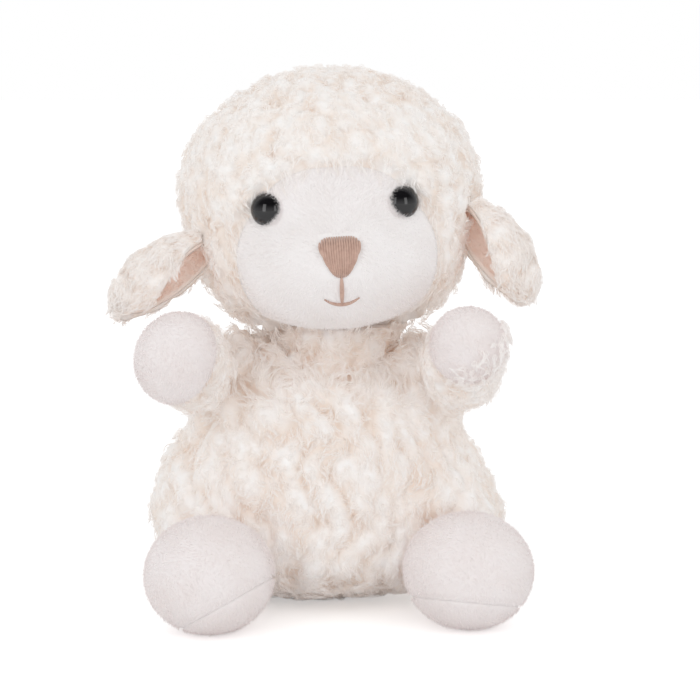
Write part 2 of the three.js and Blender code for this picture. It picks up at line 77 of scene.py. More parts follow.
camera = bpy.data.objects.new("camera", bpy.data.cameras.new("camera"))
camera.data.sensor_width = 36
camera.data.lens = 36 * view_distance / view_width
camera.data.clip_start = 0.01
camera.location = view_target - view_distance * sight
camera.rotation_euler = (math.pi / 2 - view_height, 0, 0)
scene.collection.objects.link(camera)
scene.camera = camera
print(f"camera: lens {camera.data.lens:.1f} mm")

# %% [markdown]
# ## Light
# A studio lights white fabric from large soft boxes, so that shadows stay pale. Two tall boxes stand left
# and right of the camera, where they also give the glossy eyes their slim upright highlights. The world adds
# light from everywhere. For the camera it is plain white, and reflections find it white behind the toy but
# dark round the camera, as a real studio is.

# %% Lamps
def soft_box(name, place, aim, width, height, watts):
    lamp = bpy.data.lights.new(name, "AREA")
    lamp.shape = "RECTANGLE"
    lamp.size, lamp.size_y, lamp.energy = width, height, watts
    box = bpy.data.objects.new(name, lamp)
    box.location = place
    away = np.array(aim) - np.array(place)
    turn = math.atan2(-away[0], away[1])
    tip = math.atan2(math.hypot(away[0], away[1]), -away[2])
    box.rotation_euler = (tip, 0, turn)
    scene.collection.objects.link(box)


soft_box("key_box", (-0.7, -1.1, 0.3), (0, 0, 0.07), 0.4, 1.2, 2.5)
soft_box("fill_box", (0.8, -1.0, 0.25), (0, 0, 0.07), 0.35, 1.0, 1.6)
soft_box("top_box", (0.0, 0.1, 1.2), (0, 0, 0.08), 1.0, 0.8, 0.2)

# %% Helpers for node trees
def put(node, **inputs):
    """Sets plain values on a node's inputs; an underscore stands for a space."""
    for socket, value in inputs.items():
        node.inputs[socket.replace("_", " ")].default_value = value
    return node


def add_node(tree, kind, **inputs):
    """A node of a kind, with plain values for its inputs."""
    return put(tree.nodes.new("ShaderNode" + kind), **inputs)


def calculation(tree, operation, factor=None):
    """A node for one sum on two numbers; the second can be a set factor."""
    node = add_node(tree, "Math")
    node.operation = operation
    if factor is not None:
        node.inputs[1].default_value = factor
    return node


def colour_mix(tree, **colours):
    node = add_node(tree, "Mix")
    node.data_type = "RGBA"
    return put(node, **colours)


def wire(tree, *links):
    """Links nodes; each link is a node and its output, then the next node and its input."""
    for source, output, target, socket in links:
        tree.links.new(source.outputs[output], target.inputs[socket])


# %% World
world = bpy.data.worlds.new("studio")
world.use_nodes = True
scene.world = world
sky = world.node_tree
sky.nodes.clear()
rays, where, axes = (add_node(sky, kind) for kind in ("LightPath", "TexCoord", "SeparateXYZ"))
behind = add_node(sky, "MapRange", From_Min=-0.3, From_Max=0.5, To_Min=0.06, To_Max=1.0)
haze = add_node(sky, "MapRange", From_Min=0.0, From_Max=0.5, To_Min=0.7, To_Max=0.05)
brighter = calculation(sky, "MAXIMUM")
ambient = add_node(sky, "Mix", A=0.84)
seen = add_node(sky, "Mix", B=1.0)
glow = add_node(sky, "Background", Color=(1, 1, 1, 1))
shown = add_node(sky, "OutputWorld")
wire(
    sky,
    (where, "Generated", axes, 0),
    (axes, "Y", behind, "Value"),
    (axes, "Z", haze, "Value"),
    (behind, "Result", brighter, 0),
    (haze, "Result", brighter, 1),
    (rays, "Is Glossy Ray", ambient, "Factor"),
    (brighter, 0, ambient, "B"),
    (rays, "Is Camera Ray", seen, "Factor"),
    (ambient, "Result", seen, "A"),
    (seen, "Result", glow, "Strength"),
    (glow, 0, shown, "Surface"),
)

# %% [markdown]
# ## Floor
# The toy stands on a white sweep. A matt white floor takes the soft shadow, and a little extra white that
# only the camera sees lifts the rest of it to the white of the background.

# %% Floor
floor_material = bpy.data.materials.new("white_sweep")
floor_material.use_nodes = True
tree = floor_material.node_tree
tree.nodes.clear()
matt = add_node(tree, "BsdfDiffuse", Color=(0.9, 0.9, 0.9, 1))
lift, rays, both, shown = (
    add_node(tree, kind) for kind in ("Emission", "LightPath", "AddShader", "OutputMaterial")
)
level = calculation(tree, "MULTIPLY", 0.4)
wire(
    tree,
    (rays, "Is Camera Ray", level, 0),
    (level, 0, lift, "Strength"),
    (matt, 0, both, 0),
    (lift, 0, both, 1),
    (both, 0, shown, "Surface"),
)

floor_half = 3.0
corners = [(x * floor_half, y * floor_half, 0) for x, y in ((-1, -1), (1, -1), (1, 1), (-1, 1))]
floor_mesh = bpy.data.meshes.new("floor")
floor_mesh.from_pydata(corners, [], [(0, 1, 2, 3)])
floor_mesh.materials.append(floor_material)
floor = bpy.data.objects.new("floor", floor_mesh)
scene.collection.objects.link(floor)
floor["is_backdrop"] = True

# %% [markdown]
# ## Fabrics
# Wool is painted pale at the tips and warmer in the depth: painted shade for the depth where light has
# bounced between many strands. Each strand carries two attributes: `pile`, from 0 at its root to 1 at its
# tip, and `lock`, a number that is a quarter random from lock to lock and three quarters how deep the lock
# stands in a crease, which tints it with painted crease shade. The undercoat has them too, its pile from 0 in
# its creases, where its colour is painted shade. Short plush has a fine bump under its hairs. Both use the
# same group for soft mottling, with their own values.

# %% A group for soft mottling
mottling = bpy.data.node_groups.new("mottling", "ShaderNodeTree")
for socket, kind, way in (
    ("Color", "NodeSocketColor", "INPUT"),
    ("Shade", "NodeSocketColor", "INPUT"),
    ("Scale", "NodeSocketFloat", "INPUT"),
    ("Amount", "NodeSocketFloat", "INPUT"),
    ("Color", "NodeSocketColor", "OUTPUT"),
):
    mottling.interface.new_socket(name=socket, in_out=way, socket_type=kind)
given = mottling.nodes.new("NodeGroupInput")
made = mottling.nodes.new("NodeGroupOutput")
place_on = add_node(mottling, "TexCoord")
cloud = add_node(mottling, "TexNoise", Detail=4)
spread = add_node(mottling, "MapRange", From_Min=0.35, From_Max=0.7)
amount = calculation(mottling, "MULTIPLY")
blend = colour_mix(mottling)
wire(
    mottling,
    (place_on, "Object", cloud, "Vector"),
    (given, "Scale", cloud, "Scale"),
    (cloud, "Fac", spread, "Value"),
    (spread, "Result", amount, 0),
    (given, "Amount", amount, 1),
    (amount, 0, blend, "Factor"),
    (given, "Color", blend, "A"),
    (given, "Shade", blend, "B"),
    (blend, "Result", made, "Color"),
)


def linear(*srgb):
    """A colour as it looks on screen, from 0 to 1, in the linear numbers that nodes take."""
    return tuple(((c + 0.055) / 1.055) ** 2.4 if c > 0.04045 else c / 12.92 for c in srgb) + (1.0,)


def mottle(tree, shader, colour, shade, scale, amount):
    """Gives a shader the group's colour; the colour is a value or an output of another node."""
    node = add_node(tree, "Group")
    node.node_tree = mottling
    put(node, Shade=shade, Scale=scale, Amount=amount)
    if isinstance(colour, tuple):
        put(node, Color=colour)
    else:
        tree.links.new(colour, node.inputs["Color"])
    wire(tree, (node, "Color", shader, "Base Color"))


def new_material(name, **shading):
    """A material, its node tree and its shader, with plain values for the shader's inputs."""
    material = bpy.data.materials.new(name)
    material.use_nodes = True
    return material, material.node_tree, put(material.node_tree.nodes["Principled BSDF"], **shading)


def add_bump(tree, cloth, depth, strength, **noise):
    """A fine relief on the shader's normal, from noise in the piece's own coordinates."""
    place_on, grain = add_node(tree, "TexCoord"), add_node(tree, "TexNoise", **noise)
    bump = add_node(tree, "Bump", Distance=depth, Strength=strength)
    wire(
        tree,
        (place_on, "Object", grain, "Vector"),
        (grain, "Fac", bump, "Height"),
        (bump, "Normal", cloth, "Normal"),
    )


# %% Materials for wool
def wool_material(name, deep, tip, shade, matted=0.0):
    """Colour from a painted depth shade to the tip's along the pile, tinted lock by lock with painted crease
    shade;
    matted is how deep its fine fibres lie.
    """
    material, tree, cloth = new_material(name, Roughness=0.9, Specular_IOR_Level=0.0)
    pile, lock = add_node(tree, "Attribute"), add_node(tree, "Attribute")
    pile.attribute_name, lock.attribute_name = "pile", "lock"
    fade = add_node(tree, "MapRange", From_Max=0.7)
    depth, tint = colour_mix(tree, A=deep, B=tip), colour_mix(tree, B=shade)
    part = calculation(tree, "MULTIPLY", 0.75)
    wire(
        tree,
        (pile, "Fac", fade, "Value"),
        (fade, "Result", depth, "Factor"),
        (lock, "Fac", part, 0),
        (part, 0, tint, "Factor"),
        (depth, "Result", tint, "A"),
    )
    mottle(tree, cloth, tint.outputs["Result"], shade, 60.0, 0.2)
    if matted:
        add_bump(tree, cloth, matted, 0.5, Scale=420.0, Detail=4, Distortion=1.6)
    return material


# Painted shade: the strands are darker and warmer at the root than at the tip, and the undercoat is darker in
# its creases than on its crests. The shade colour is painted crease shade on the strands and the mottling's
# tone on both.
fleece_root_shade, fleece_tip = linear(0.986, 0.974, 0.966), linear(0.995, 0.992, 0.991)
fleece_mottle_and_crease_shade = linear(0.976, 0.955, 0.937)
fleece_strand = wool_material("fleece_strand", fleece_root_shade, fleece_tip, fleece_mottle_and_crease_shade)
painted_crease_shade, crest_colour = linear(0.95, 0.896, 0.852), linear(0.994, 0.99, 0.987)
fleece_under = wool_material("fleece_undercoat", painted_crease_shade, crest_colour, fleece_mottle_and_crease_shade, matted=0.0008)

# %% Materials for short plush
def plush_material(name, colour, shade, nap_scale, nap_depth):
    """Plain colours on screen for the cloth and its mottling, and the fineness and depth of the nap."""
    material, tree, cloth = new_material(
        name, Roughness=0.92, Specular_IOR_Level=0.2, Sheen_Weight=0.35, Sheen_Roughness=0.4,
    )
    mottle(tree, cloth, linear(*colour), linear(*shade), 90.0, 0.7)
    add_bump(tree, cloth, nap_depth, 0.6, Scale=nap_scale, Detail=5, Roughness=0.65)
    return material


face_plush, foot_plush, ear_plush, fibre_fill, pellet_cloth = (
    plush_material(*values) for values in (
        ("face_plush", (0.975, 0.964, 0.963), (0.96, 0.945, 0.941), 1400.0, 0.0002),
        ("foot_plush", (0.962, 0.942, 0.94), (0.948, 0.92, 0.914), 1200.0, 0.0002),
        ("ear_plush", (0.978, 0.93, 0.9), (0.962, 0.893, 0.85), 1200.0, 0.0002),
        ("fibre_fill", (0.965, 0.965, 0.957), (0.93, 0.93, 0.92), 300.0, 0.001),
        ("pellet_cloth", (0.85, 0.83, 0.80), (0.8, 0.78, 0.74), 1500.0, 0.0003),
    )
)

# %% [markdown]
# ## Forms
# Stuffing rounds a sewn cover into lobes that run into each other. A lobe is an ellipsoid, given as a rule
# that says how far any point is from its surface, and a fillet fills the inside corner where two lobes meet.
# Sizes in this lesson are in millimetres, as a maker measures a toy, and a mesh gets them in metres.

# %% Lobes and fillets
MM = 0.001


def lobe(centre, radii):
    """Distance to an ellipsoid: k0 (k0 - 1) / k1, where k0 is the length of p / r and k1 that of p / r²."""
    centre, radii = np.array(centre, float), np.array(radii, float)

    def distance(points):
        away = (points - centre) / radii
        k0 = np.linalg.norm(away, axis=-1)
        k1 = np.linalg.norm(away / radii, axis=-1)
        return k0 * (k0 - 1) / np.maximum(k1, 1e-9)

    return distance


def filleted(fillet, *forms):
    """The nearest of several distances, less h² fillet / 4, where h is how far two are within a fillet."""

    def distance(points):
        nearest = forms[0](points)
        for form in forms[1:]:
            other = form(points)
            close = np.maximum(fillet - np.abs(nearest - other), 0) / fillet
            nearest = np.minimum(nearest, other) - close**2 * fillet / 4
        return nearest

    return distance


def reach(form, start, ways, out, far=90.0):
    """How far along each way the surface that lies `out` outside a form is from a start, by halving."""
    near, far = np.zeros(ways.shape[:-1]), np.full(ways.shape[:-1], far)
    for _ in range(26):
        half = (near + far) / 2
        inside = form(start + ways * half[..., None]) < out
        near, far = np.where(inside, half, near), np.where(inside, far, half)
    return near


def slope(form, points):
    """The direction straight out of a form at each point: its distance's change along x, y and z."""
    step = 0.2
    change = [form(points + step * axis) - form(points - step * axis) for axis in np.eye(3)]
    return unit(np.stack(change, axis=-1))


def unit(vectors):
    return vectors / np.maximum(np.linalg.norm(vectors, axis=-1, keepdims=True), 1e-9)


def stand(place, turns=(0, 0, 0), side=1, parent=None):
    """A frame at a place, turned by degrees about x, then y, then z; side -1 mirrors its x axis."""
    x, y, z = np.radians(turns)
    about_x = np.array([[1, 0, 0], [0, math.cos(x), -math.sin(x)], [0, math.sin(x), math.cos(x)]])
    about_y = np.array([[math.cos(y), 0, math.sin(y)], [0, 1, 0], [-math.sin(y), 0, math.cos(y)]])
    about_z = np.array([[math.cos(z), -math.sin(z), 0], [math.sin(z), math.cos(z), 0], [0, 0, 1]])
    made = np.eye(4)
    made[:3, :3] = about_z @ about_y @ about_x @ np.diag([side, 1, 1])
    made[:3, 3] = place
    return made if parent is None else parent @ made


def placed(points, at):
    return points @ at[:3, :3].T + at[:3, 3]


def turned(ways, at):
    return ways @ at[:3, :3].T


FAR_OFF = 1e3  # mm, past every part of the lamb


def back_in(points, at):
    """The lamb's own points as they lie in a frame."""
    return placed(points, np.linalg.inv(at))


def between_heights(points, low=-FAR_OFF, high=FAR_OFF):
    """Points whose height is held between two limits, as on the floor."""
    return np.clip(points, [-FAR_OFF, -FAR_OFF, low], [FAR_OFF, FAR_OFF, high])


def seen_from(form, at):
    """A form that is given in a frame, as a rule for the lamb's own points."""
    return lambda points: form(back_in(points, at))


# %% The lamb's forms
SIDES = {"left": 1, "right": -1}

trunk = filleted(
    14,
    lobe((-3, 2, 38.5), (54.5, 40, 35)),  # belly
    lobe((-2, 1, 19.4), (48, 37, 17)),  # seat
    lobe((-2, -2, 63), (37.5, 30, 22)),  # chest
    lobe((30, -3, 71), (14, 15, 15.5)),  # shoulders
    lobe((-30, -3, 71), (14, 15, 15.5)),
    lobe((36, -8, 27), (21.5, 21, 20.5)),  # thighs
    lobe((-36, -8, 27), (21.5, 21, 20.5)),
)
trunk_middle = np.array([0, 0, 42.0])

neck_place = np.array([2.5, 0, 84.0])
neck_form = lobe((0, 0, 0), (14, 14, 14))

head_at = stand(neck_place, (0, -3, 3))
head_form = filleted(
    9,
    lobe((0, 0, 50.5), (43.3, 37, 33.6)),  # skull
    lobe((0, -4, 31), (37, 30, 20)),  # jowl
    lobe((0, -27, 29), (29, 19, 16.5)),  # cheeks
    lobe((0, -36, 32), (14, 16.5, 11)),  # snout
)
head_middle = np.array([0, -4, 42.0])
plush_out = 2.8  # how far smooth plush lies outside a form, with its clearance

arm_form = filleted(
    6,
    lobe((0, 0, 0), (6.2, 6.2, 6.2)),  # shoulder end
    lobe((0, -19, 0), (7.8, 17, 8.6)),  # sleeve
    lobe((0, -36, 0), (8.7, 9.6, 8.7)),  # paw
)
wrist = 32.0
arm_at = {
    "left": stand((41, -12, 73), (-28, 0, 4), 1),
    "right": stand((-41, -12, 73), (-25, 0, -9), -1),
}

foot_form = filleted(8, lobe((0, 0, 0), (10.2, 10.2, 10.2)), lobe((0, -28, -1.2), (17.4, 19, 15.5)))
arm_middle, paw_middle = np.array([0, -19.0, 0]), np.array([0, -30.0, 0])
foot_middle = np.array([0, -28, -1.2])
leg_at = {
    "left": stand((37, -15, 19), (0, 0, 14), 1),
    "right": stand((-37, -21, 19), (0, 0, -1), -1),
}

head_world = seen_from(head_form, head_at)
arm_world = {side: seen_from(arm_form, at) for side, at in arm_at.items()}
foot_world = {side: seen_from(foot_form, at) for side, at in leg_at.items()}

# %% [markdown]
# ## Grids and closed pieces
# Every smooth piece is a grid of points: rows from one pole to the other, and columns round. The poles are
# single points, so that each piece is closed.

# %% From a grid to a mesh
def link_piece(name, mesh, body, material, slot, *stands_for, smooth=True):
    """A mesh as an object that rides on a body and stands for CAD nodes."""
    if smooth:
        mesh.shade_smooth()
    else:
        mesh.shade_flat()
    mesh.materials.append(material)
    piece = bpy.data.objects.new(name, mesh)
    scene.collection.objects.link(piece)
    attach(piece, body)
    if stands_for:
        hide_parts(*stands_for)
    return piece


def map_corners(*corners):
    """Map places of many faces' corners; each corner is a pair of numbers or arrays."""
    return np.stack([np.stack(np.broadcast_arrays(*corner), axis=-1) for corner in corners], axis=1)


def grid_faces(rows, columns):
    """The faces between the rows of a grid that runs round, and those that join its ends to the poles. The
    first pole is point 0, and the last one comes after the grid."""
    index = 1 + np.arange(rows * columns).reshape(rows, columns)
    after = np.roll(index, -1, axis=1)
    quads = np.stack([index[:-1], index[1:], after[1:], after[:-1]], axis=-1).reshape(-1, 4)
    top = np.stack([np.zeros(columns, int), index[0], after[0]], axis=-1)
    low = np.stack([np.full(columns, rows * columns + 1), after[-1], index[-1]], axis=-1)
    return quads, np.concatenate([top, low])


def closed_grid(name, first, grid, last, flip=False):
    """A mesh of a pole, a grid of rows and columns that runs round, and the other pole, in millimetres."""
    rows, columns = grid.shape[:2]
    points = np.concatenate([[first], grid.reshape(-1, 3), [last]]) * MM
    quads, ends = grid_faces(rows, columns)
    i, j = [v.ravel() for v in np.indices((rows - 1, columns))]
    k = np.arange(columns)
    on_quads = map_corners((i + 1, j), (i + 2, j), (i + 2, j + 1), (i + 1, j + 1))
    on_top = map_corners((0, k + 0.5), (1, k), (1, k + 1))
    on_low = map_corners((rows + 1, k + 0.5), (rows, k + 1), (rows, k))
    maps = [on_quads / (rows + 1, columns), np.concatenate([on_top, on_low]) / (rows + 1, columns)]
    if flip:
        quads, ends, maps = quads[:, ::-1], ends[:, ::-1], [chart[:, ::-1] for chart in maps]
    return mesh_of(name, points, [quads, ends], maps)


def mesh_of(name, points, face_groups, map_groups=None):
    """A mesh from points and groups of faces, each group an array of faces with as many corners each."""
    mesh = bpy.data.meshes.new(name)
    corners = np.concatenate([faces.ravel() for faces in face_groups])
    counts = np.concatenate([np.full(len(faces), faces.shape[1]) for faces in face_groups])
    starts = np.concatenate([[0], np.cumsum(counts)[:-1]])
    mesh.vertices.add(len(points))
    mesh.vertices.foreach_set("co", np.asarray(points, np.float32).ravel())
    mesh.loops.add(len(corners))
    mesh.loops.foreach_set("vertex_index", corners.astype(np.int32))
    mesh.polygons.add(len(counts))
    mesh.polygons.foreach_set("loop_start", starts.astype(np.int32))
    if map_groups is not None:
        places = np.concatenate([chart.reshape(-1) for chart in map_groups])
        mesh.uv_layers.new(name="OFBake").uv.foreach_set("vector", places.astype(np.float32))
    mesh.update(calc_edges=True)
    mesh.validate()
    return mesh


def directions(rows, columns, pole="z"):
    """Unit directions in rows from near one pole to near the other, without the poles themselves."""
    polar = np.linspace(0, math.pi, rows + 2)[1:-1, None]
    turn = np.linspace(0, 2 * math.pi, columns, endpoint=False)[None]
    a, b, c = np.sin(polar) * np.cos(turn), np.sin(polar) * np.sin(turn), np.cos(polar) + 0 * turn
    return np.stack([a, b, c] if pole == "z" else [b, c, a], axis=-1)


def flat_pile(points):
    return 0.0 * points[..., 0]


def skin(form, middle, out, rows, columns, pole="z", raised=flat_pile):
    """The closed surface that lies `out` outside a form, raised by a relief: its first pole, its rows and its
    last pole."""
    ends = np.array([[0, 0, 1.0], [0, 0, -1]] if pole == "z" else [[0, 1.0, 0], [0, -1, 0]])
    ways = directions(rows, columns, pole)
    grid = middle + ways * reach(form, middle, ways, out)[..., None]
    tips = middle + ends * reach(form, middle, ends, out)[..., None]
    grid, tips = (part + slope(form, part) * raised(part)[..., None] for part in (grid, tips))
    return tips[0], grid, tips[1]


def set_values(mesh, **values):
    """Gives each point of a mesh a number under a name, for the material to read."""
    for key, numbers in values.items():
        mesh.attributes.new(key, "FLOAT", "POINT").data.foreach_set("value", numbers.astype(np.float32))


def smooth_piece(name, surface, at, body, material, slot, *stands_for, flip=False):
    """A closed surface as a piece, placed by a frame; in a mirrored frame its faces are turned round."""
    mirrored = np.linalg.det(at[:3, :3]) < 0
    mesh = closed_grid(name, *(placed(part, at) for part in surface), flip != mirrored)
    return link_piece(name, mesh, body, material, slot, *stands_for)


# %% [markdown]
# ## Locks of wool
# Curly fleece is matted near its backing, and its fibres cling together in plump tufts with creases between
# them. A relief over the form gives the tufts. Out of them come locks: a lock is a handful of strands round
# one line, which rises, leans over and ends in a curl. Each strand is a thin three-sided tube of four rings
# that ends in a point, only 22 triangles, so that tens of thousands of strands stay light enough to render.
# They are shaded flat: normals smoothed round a tube of three sides point into it and lose light.

# %% Relief of the undercoat
def drift(points, size=18.0):
    """A direction that changes slowly from place to place: the sum of five waves of about that size."""
    waves = np.random.default_rng(3)
    total = 0
    for _ in range(5):
        way = unit(waves.normal(size=3)) * 2 * math.pi / (size * waves.uniform(0.7, 1.6))
        total = total + np.sin(points @ way + waves.uniform(0, 6.3))[..., None] * unit(waves.normal(size=3))
    return total


def scattered(corners):
    """Three numbers from 0 to 1 for each corner of a lattice: the fractions of a large multiple of a sine."""
    mixed = corners @ np.array([[12.99, 39.35, 73.16], [78.23, 11.14, 52.24], [37.72, 83.16, 9.15]])
    return np.modf(np.abs(np.sin(mixed)) * 43758.55)[0]


def tufts(points, size, stretch):
    """Rounded tufts, 0 in the creases and 1 on the crowns: 1 - (d / 0.85)², where d is the distance to the
    nearest of many scattered points, one in each cell of a lattice that is bent by the drift."""
    at = (points + 0.22 * size * drift(points, 3.5 * size)) / (size * np.array([1, 1, stretch]))
    cell = np.floor(at)
    nearest = np.full(points.shape[:-1], 9.0)
    for step in np.ndindex(3, 3, 3):
        corner = cell + np.array(step) - 1
        nearest = np.minimum(nearest, np.linalg.norm(at - corner - scattered(corner), axis=-1))
    return 1 - np.clip(nearest / 0.85, 0, 1) ** 2


def tufting(size, stretch, small, small_stretch=1.0, mostly=0.8):
    """A rule for tufts of two sizes: the share `mostly` of the large ones, and the rest of the small ones."""
    return lambda points: (
        mostly * tufts(points, size, stretch) + (1 - mostly) * tufts(points + 50, small, small_stretch)
    )


# %% Roots in rows
random = np.random.default_rng(7)
AT_HOME = np.eye(4)


def roots_on(form, middle, out, spacing, at=AT_HOME, pole="z", raised=flat_pile, jitter=0.38):
    """Places for locks or hairs on a form, in rows `spacing` apart and as far apart in each row, each moved a
    little at random. Each row's length is summed along it, and the places share it out evenly."""
    ways = directions(240, 480, pole)
    grid = middle + ways * reach(form, middle, ways, out)[..., None]
    down = np.linalg.norm(np.diff(grid, axis=0), axis=-1).mean(axis=1)
    depth = np.concatenate([[0], np.cumsum(down)])
    chosen = np.arange(spacing / 2, depth[-1], spacing)
    found = []
    for height in chosen:
        above = min(np.searchsorted(depth, height), len(grid) - 1)
        part = (depth[above] - height) / (depth[above] - depth[above - 1])
        row = grid[above] * (1 - part) + grid[above - 1] * part
        closed = np.concatenate([row, row[:1]])
        along = np.concatenate([[0], np.cumsum(np.linalg.norm(np.diff(closed, axis=0), axis=-1))])
        count = max(int(along[-1] / spacing), 3)
        shares = (np.arange(count) + random.random() + jitter * random.uniform(-1, 1, count)) % count
        stops = shares / count * along[-1]
        found.append(np.stack([np.interp(stops, along, closed[:, axis]) for axis in range(3)], axis=-1))
    points = np.concatenate(found)
    points = points + random.uniform(-jitter, jitter, points.shape) * spacing
    ways = unit(points - middle)
    points = middle + ways * reach(form, middle, ways, out)[..., None]
    normals = slope(form, points)
    points = points + normals * raised(points)[:, None]
    return placed(points, at), unit(turned(normals, at))


# %% Tapering tubes
least_height = 0.1  # of a tip, so that none goes through the floor


def rings_round(paths, radii, a, b, sides):
    """Rings of points round paths (tube, ring, xyz), on two directions a and b square to them."""
    angles = np.arange(sides) * 2 * math.pi / sides
    ring = a[:, :, None] * np.cos(angles)[:, None] + b[:, :, None] * np.sin(angles)[:, None]
    return paths[:, :, None] + ring * radii[..., None, None]


def own_cells(count):
    """Square cells of the map, one for each of many small pieces, and how many there are in a row."""
    cells = math.ceil(math.sqrt(count))
    return np.stack(np.divmod(np.arange(count), cells), axis=-1)[:, None, None], cells


def tapering_tubes(name, paths, thick, sides, locks, tip=0.6):
    """Tubes with a radius for each ring, closed by a face at the root and a point at the tip."""
    count, rings = paths.shape[:2]
    along = unit(np.gradient(paths, axis=1))
    a = unit(np.cross(along, unit(random.normal(size=(count, 1, 3)))))
    tubes = rings_round(paths, thick, a, np.cross(along, a), sides)
    tips = between_heights(paths[:, -1] + along[:, -1] * tip, low=least_height)
    each = sides * rings + 1
    points = np.concatenate([tubes.reshape(count, -1, 3), tips[:, None]], axis=1)
    start = (np.arange(count) * each)[:, None, None]
    j, i = [v.ravel() for v in np.meshgrid(np.arange(sides), np.arange(rings - 1))]
    low, last, after = i * sides, sides * (rings - 1), (j + 1) % sides
    quads = np.stack([low + j, low + after, low + sides + after, low + sides + j], -1)[None] + start
    k = np.arange(sides)
    tip_faces = np.stack([last + k, last + (k + 1) % sides, np.full(sides, each - 1)], -1)[None] + start
    root_faces = np.arange(sides)[::-1][None, None] + start
    # In its cell of the map, a tube's sides lie next to each other and its rings one above the other
    square = map_corners((j, i), (j + 1, i), (j + 1, i + 1), (j, i + 1))
    top = map_corners((k, rings - 1), (k + 1, rings - 1), (k + 0.5, rings))
    under = np.stack([k[::-1], 0 * k], -1)[None]
    corner, cells = own_cells(count)
    parts = [part[None] / (sides, rings) for part in (square, top, under)]
    maps = [(corner + 0.05 + 0.9 * part) / cells for part in parts]
    faces = [quads.reshape(-1, 4), tip_faces.reshape(-1, 3), root_faces.reshape(-1, sides)]
    mesh = mesh_of(name, points.reshape(-1, 3) * MM, faces, maps)
    share = np.append(np.repeat(np.arange(rings) / rings, sides), 1.0)
    set_values(mesh, pile=np.tile(share, count), lock=np.repeat(locks, each))
    return mesh


def along_surface(ways, normals):
    """Directions laid flat on the surface: what they have along its normal is taken off."""
    return unit(ways - normals * np.sum(ways * normals, axis=-1, keepdims=True))


def lock_lines(roots, normals, lean, rise, over, curl, turns, rings, vary=0.25):
    """The middle lines of locks. A line rises by `rise` as 1 - (1 - t)², goes `over` along its lean as
    t^1.5, and circles with a radius `curl` for some turns."""
    count = len(roots)
    t = np.linspace(0, 1, rings)[None, :, None]
    size = 1 + vary * random.uniform(-1, 1, (count, 1, 1))
    n, h = normals[:, None], lean[:, None]
    across = np.cross(n, h)
    start = random.uniform(0, 2 * math.pi, (count, 1, 1))
    hand = random.choice([-1.0, 1.0], (count, 1, 1))
    angle = start + hand * 2 * math.pi * turns * t
    circle = across * (np.sin(angle) - np.sin(start)) + 0.35 * n * (np.cos(angle) - np.cos(start))
    stands = n * rise * (1 - (1 - np.minimum(t / 0.75, 1)) ** 2)
    return roots[:, None] + size * (stands + h * over * t**1.5 + curl * t**0.7 * circle)


def strand_paths(lines, across, strands, width, frizz, longer=1.15):
    """Strands round the lines of locks, in a disc of radius `width` that swells in the middle and closes
    to a point, each with a slight wave of its own."""
    count, rings = lines.shape[:2]
    t = np.linspace(0, 1, rings)[None, :, None]
    along = unit(np.gradient(lines, axis=1))
    b = np.cross(along, across)
    spread = (0.7 + 0.6 * np.sin(math.pi * t**0.8)) * (1 - 0.7 * t**2)
    k = np.arange(strands)
    ring = np.sqrt((k + 0.6) / strands)[None, :, None, None] * width
    turn = (k * 2.4)[None, :, None, None] + random.uniform(0, 6.3, (count, 1, 1, 1)) + 1.6 * t[:, None]
    roots = lines[:, None, :1]
    own = random.uniform(0.85, longer, (count, strands, 1, 1))
    paths = roots + (lines[:, None] - roots) * own
    paths = paths + ring * spread[:, None] * (across[:, None] * np.cos(turn) + b[:, None] * np.sin(turn))
    starts = random.uniform(0, 2 * math.pi, (2, count, strands, 1, 1))
    pace = random.uniform(8, 14, (count, strands, 1, 1)) * t[:, None]
    wave = across[:, None] * np.sin(pace + starts[0]) + b[:, None] * np.sin(pace + starts[1])
    return (paths + frizz * t[:, None] * wave).reshape(count * strands, rings, 3)


def in_parts(name, places, triangles):
    """Splits places, in order round the piece, so that each part stays under 190,000 triangles."""
    count = math.ceil(len(places) * triangles / 190000)
    order = np.argsort(np.arctan2(places[:, 0], places[:, 1]), kind="stable")
    parts = np.array_split(order, count)
    return [(name if count == 1 else f"{name}_{number}", part) for number, part in enumerate(parts, 1)]


def wool(
    name, roots, normals, lean, body, rise, over, crease=0.0, curl=0.5, turns=0.9,
    width=0.9, strands=6, thick=0.12, rings=4, frizz=0.16,
):
    """Locks of loose strands that lean along a surface, in several pieces where there are many. Crease is how
    deep each stands, and a lock's tone, its painted crease shade, is a quarter its own at random and three
    quarters its crease's."""
    lean = along_surface(lean, normals)
    lines = lock_lines(roots, normals, lean, rise, over, curl, turns, rings)
    across = unit(np.cross(normals, lean))[:, None]
    # Painted crease shade: locks deep in the creases are tinted more towards the shade colour
    crease_shade_tones = 0.25 * random.random(len(roots)) + 0.75 * crease * np.ones(len(roots))
    t = np.linspace(0, 1, rings)
    each = strands * ((rings - 1) * 6 + 4)
    for label, part in in_parts(name, roots, each):
        paths = strand_paths(lines[part], across[part], strands, width, frizz)
        paths = between_heights(paths, low=2 * thick)
        taper = np.broadcast_to(thick * (1 - 0.5 * t**1.5), paths.shape[:2])
        mesh = tapering_tubes(label, paths, taper, 3, np.repeat(crease_shade_tones[part], strands))
        link_piece(label, mesh, body, fleece_strand, "fleece", smooth=False)
    print(f"{name}: {len(roots)} locks, {len(roots) * each} triangles")


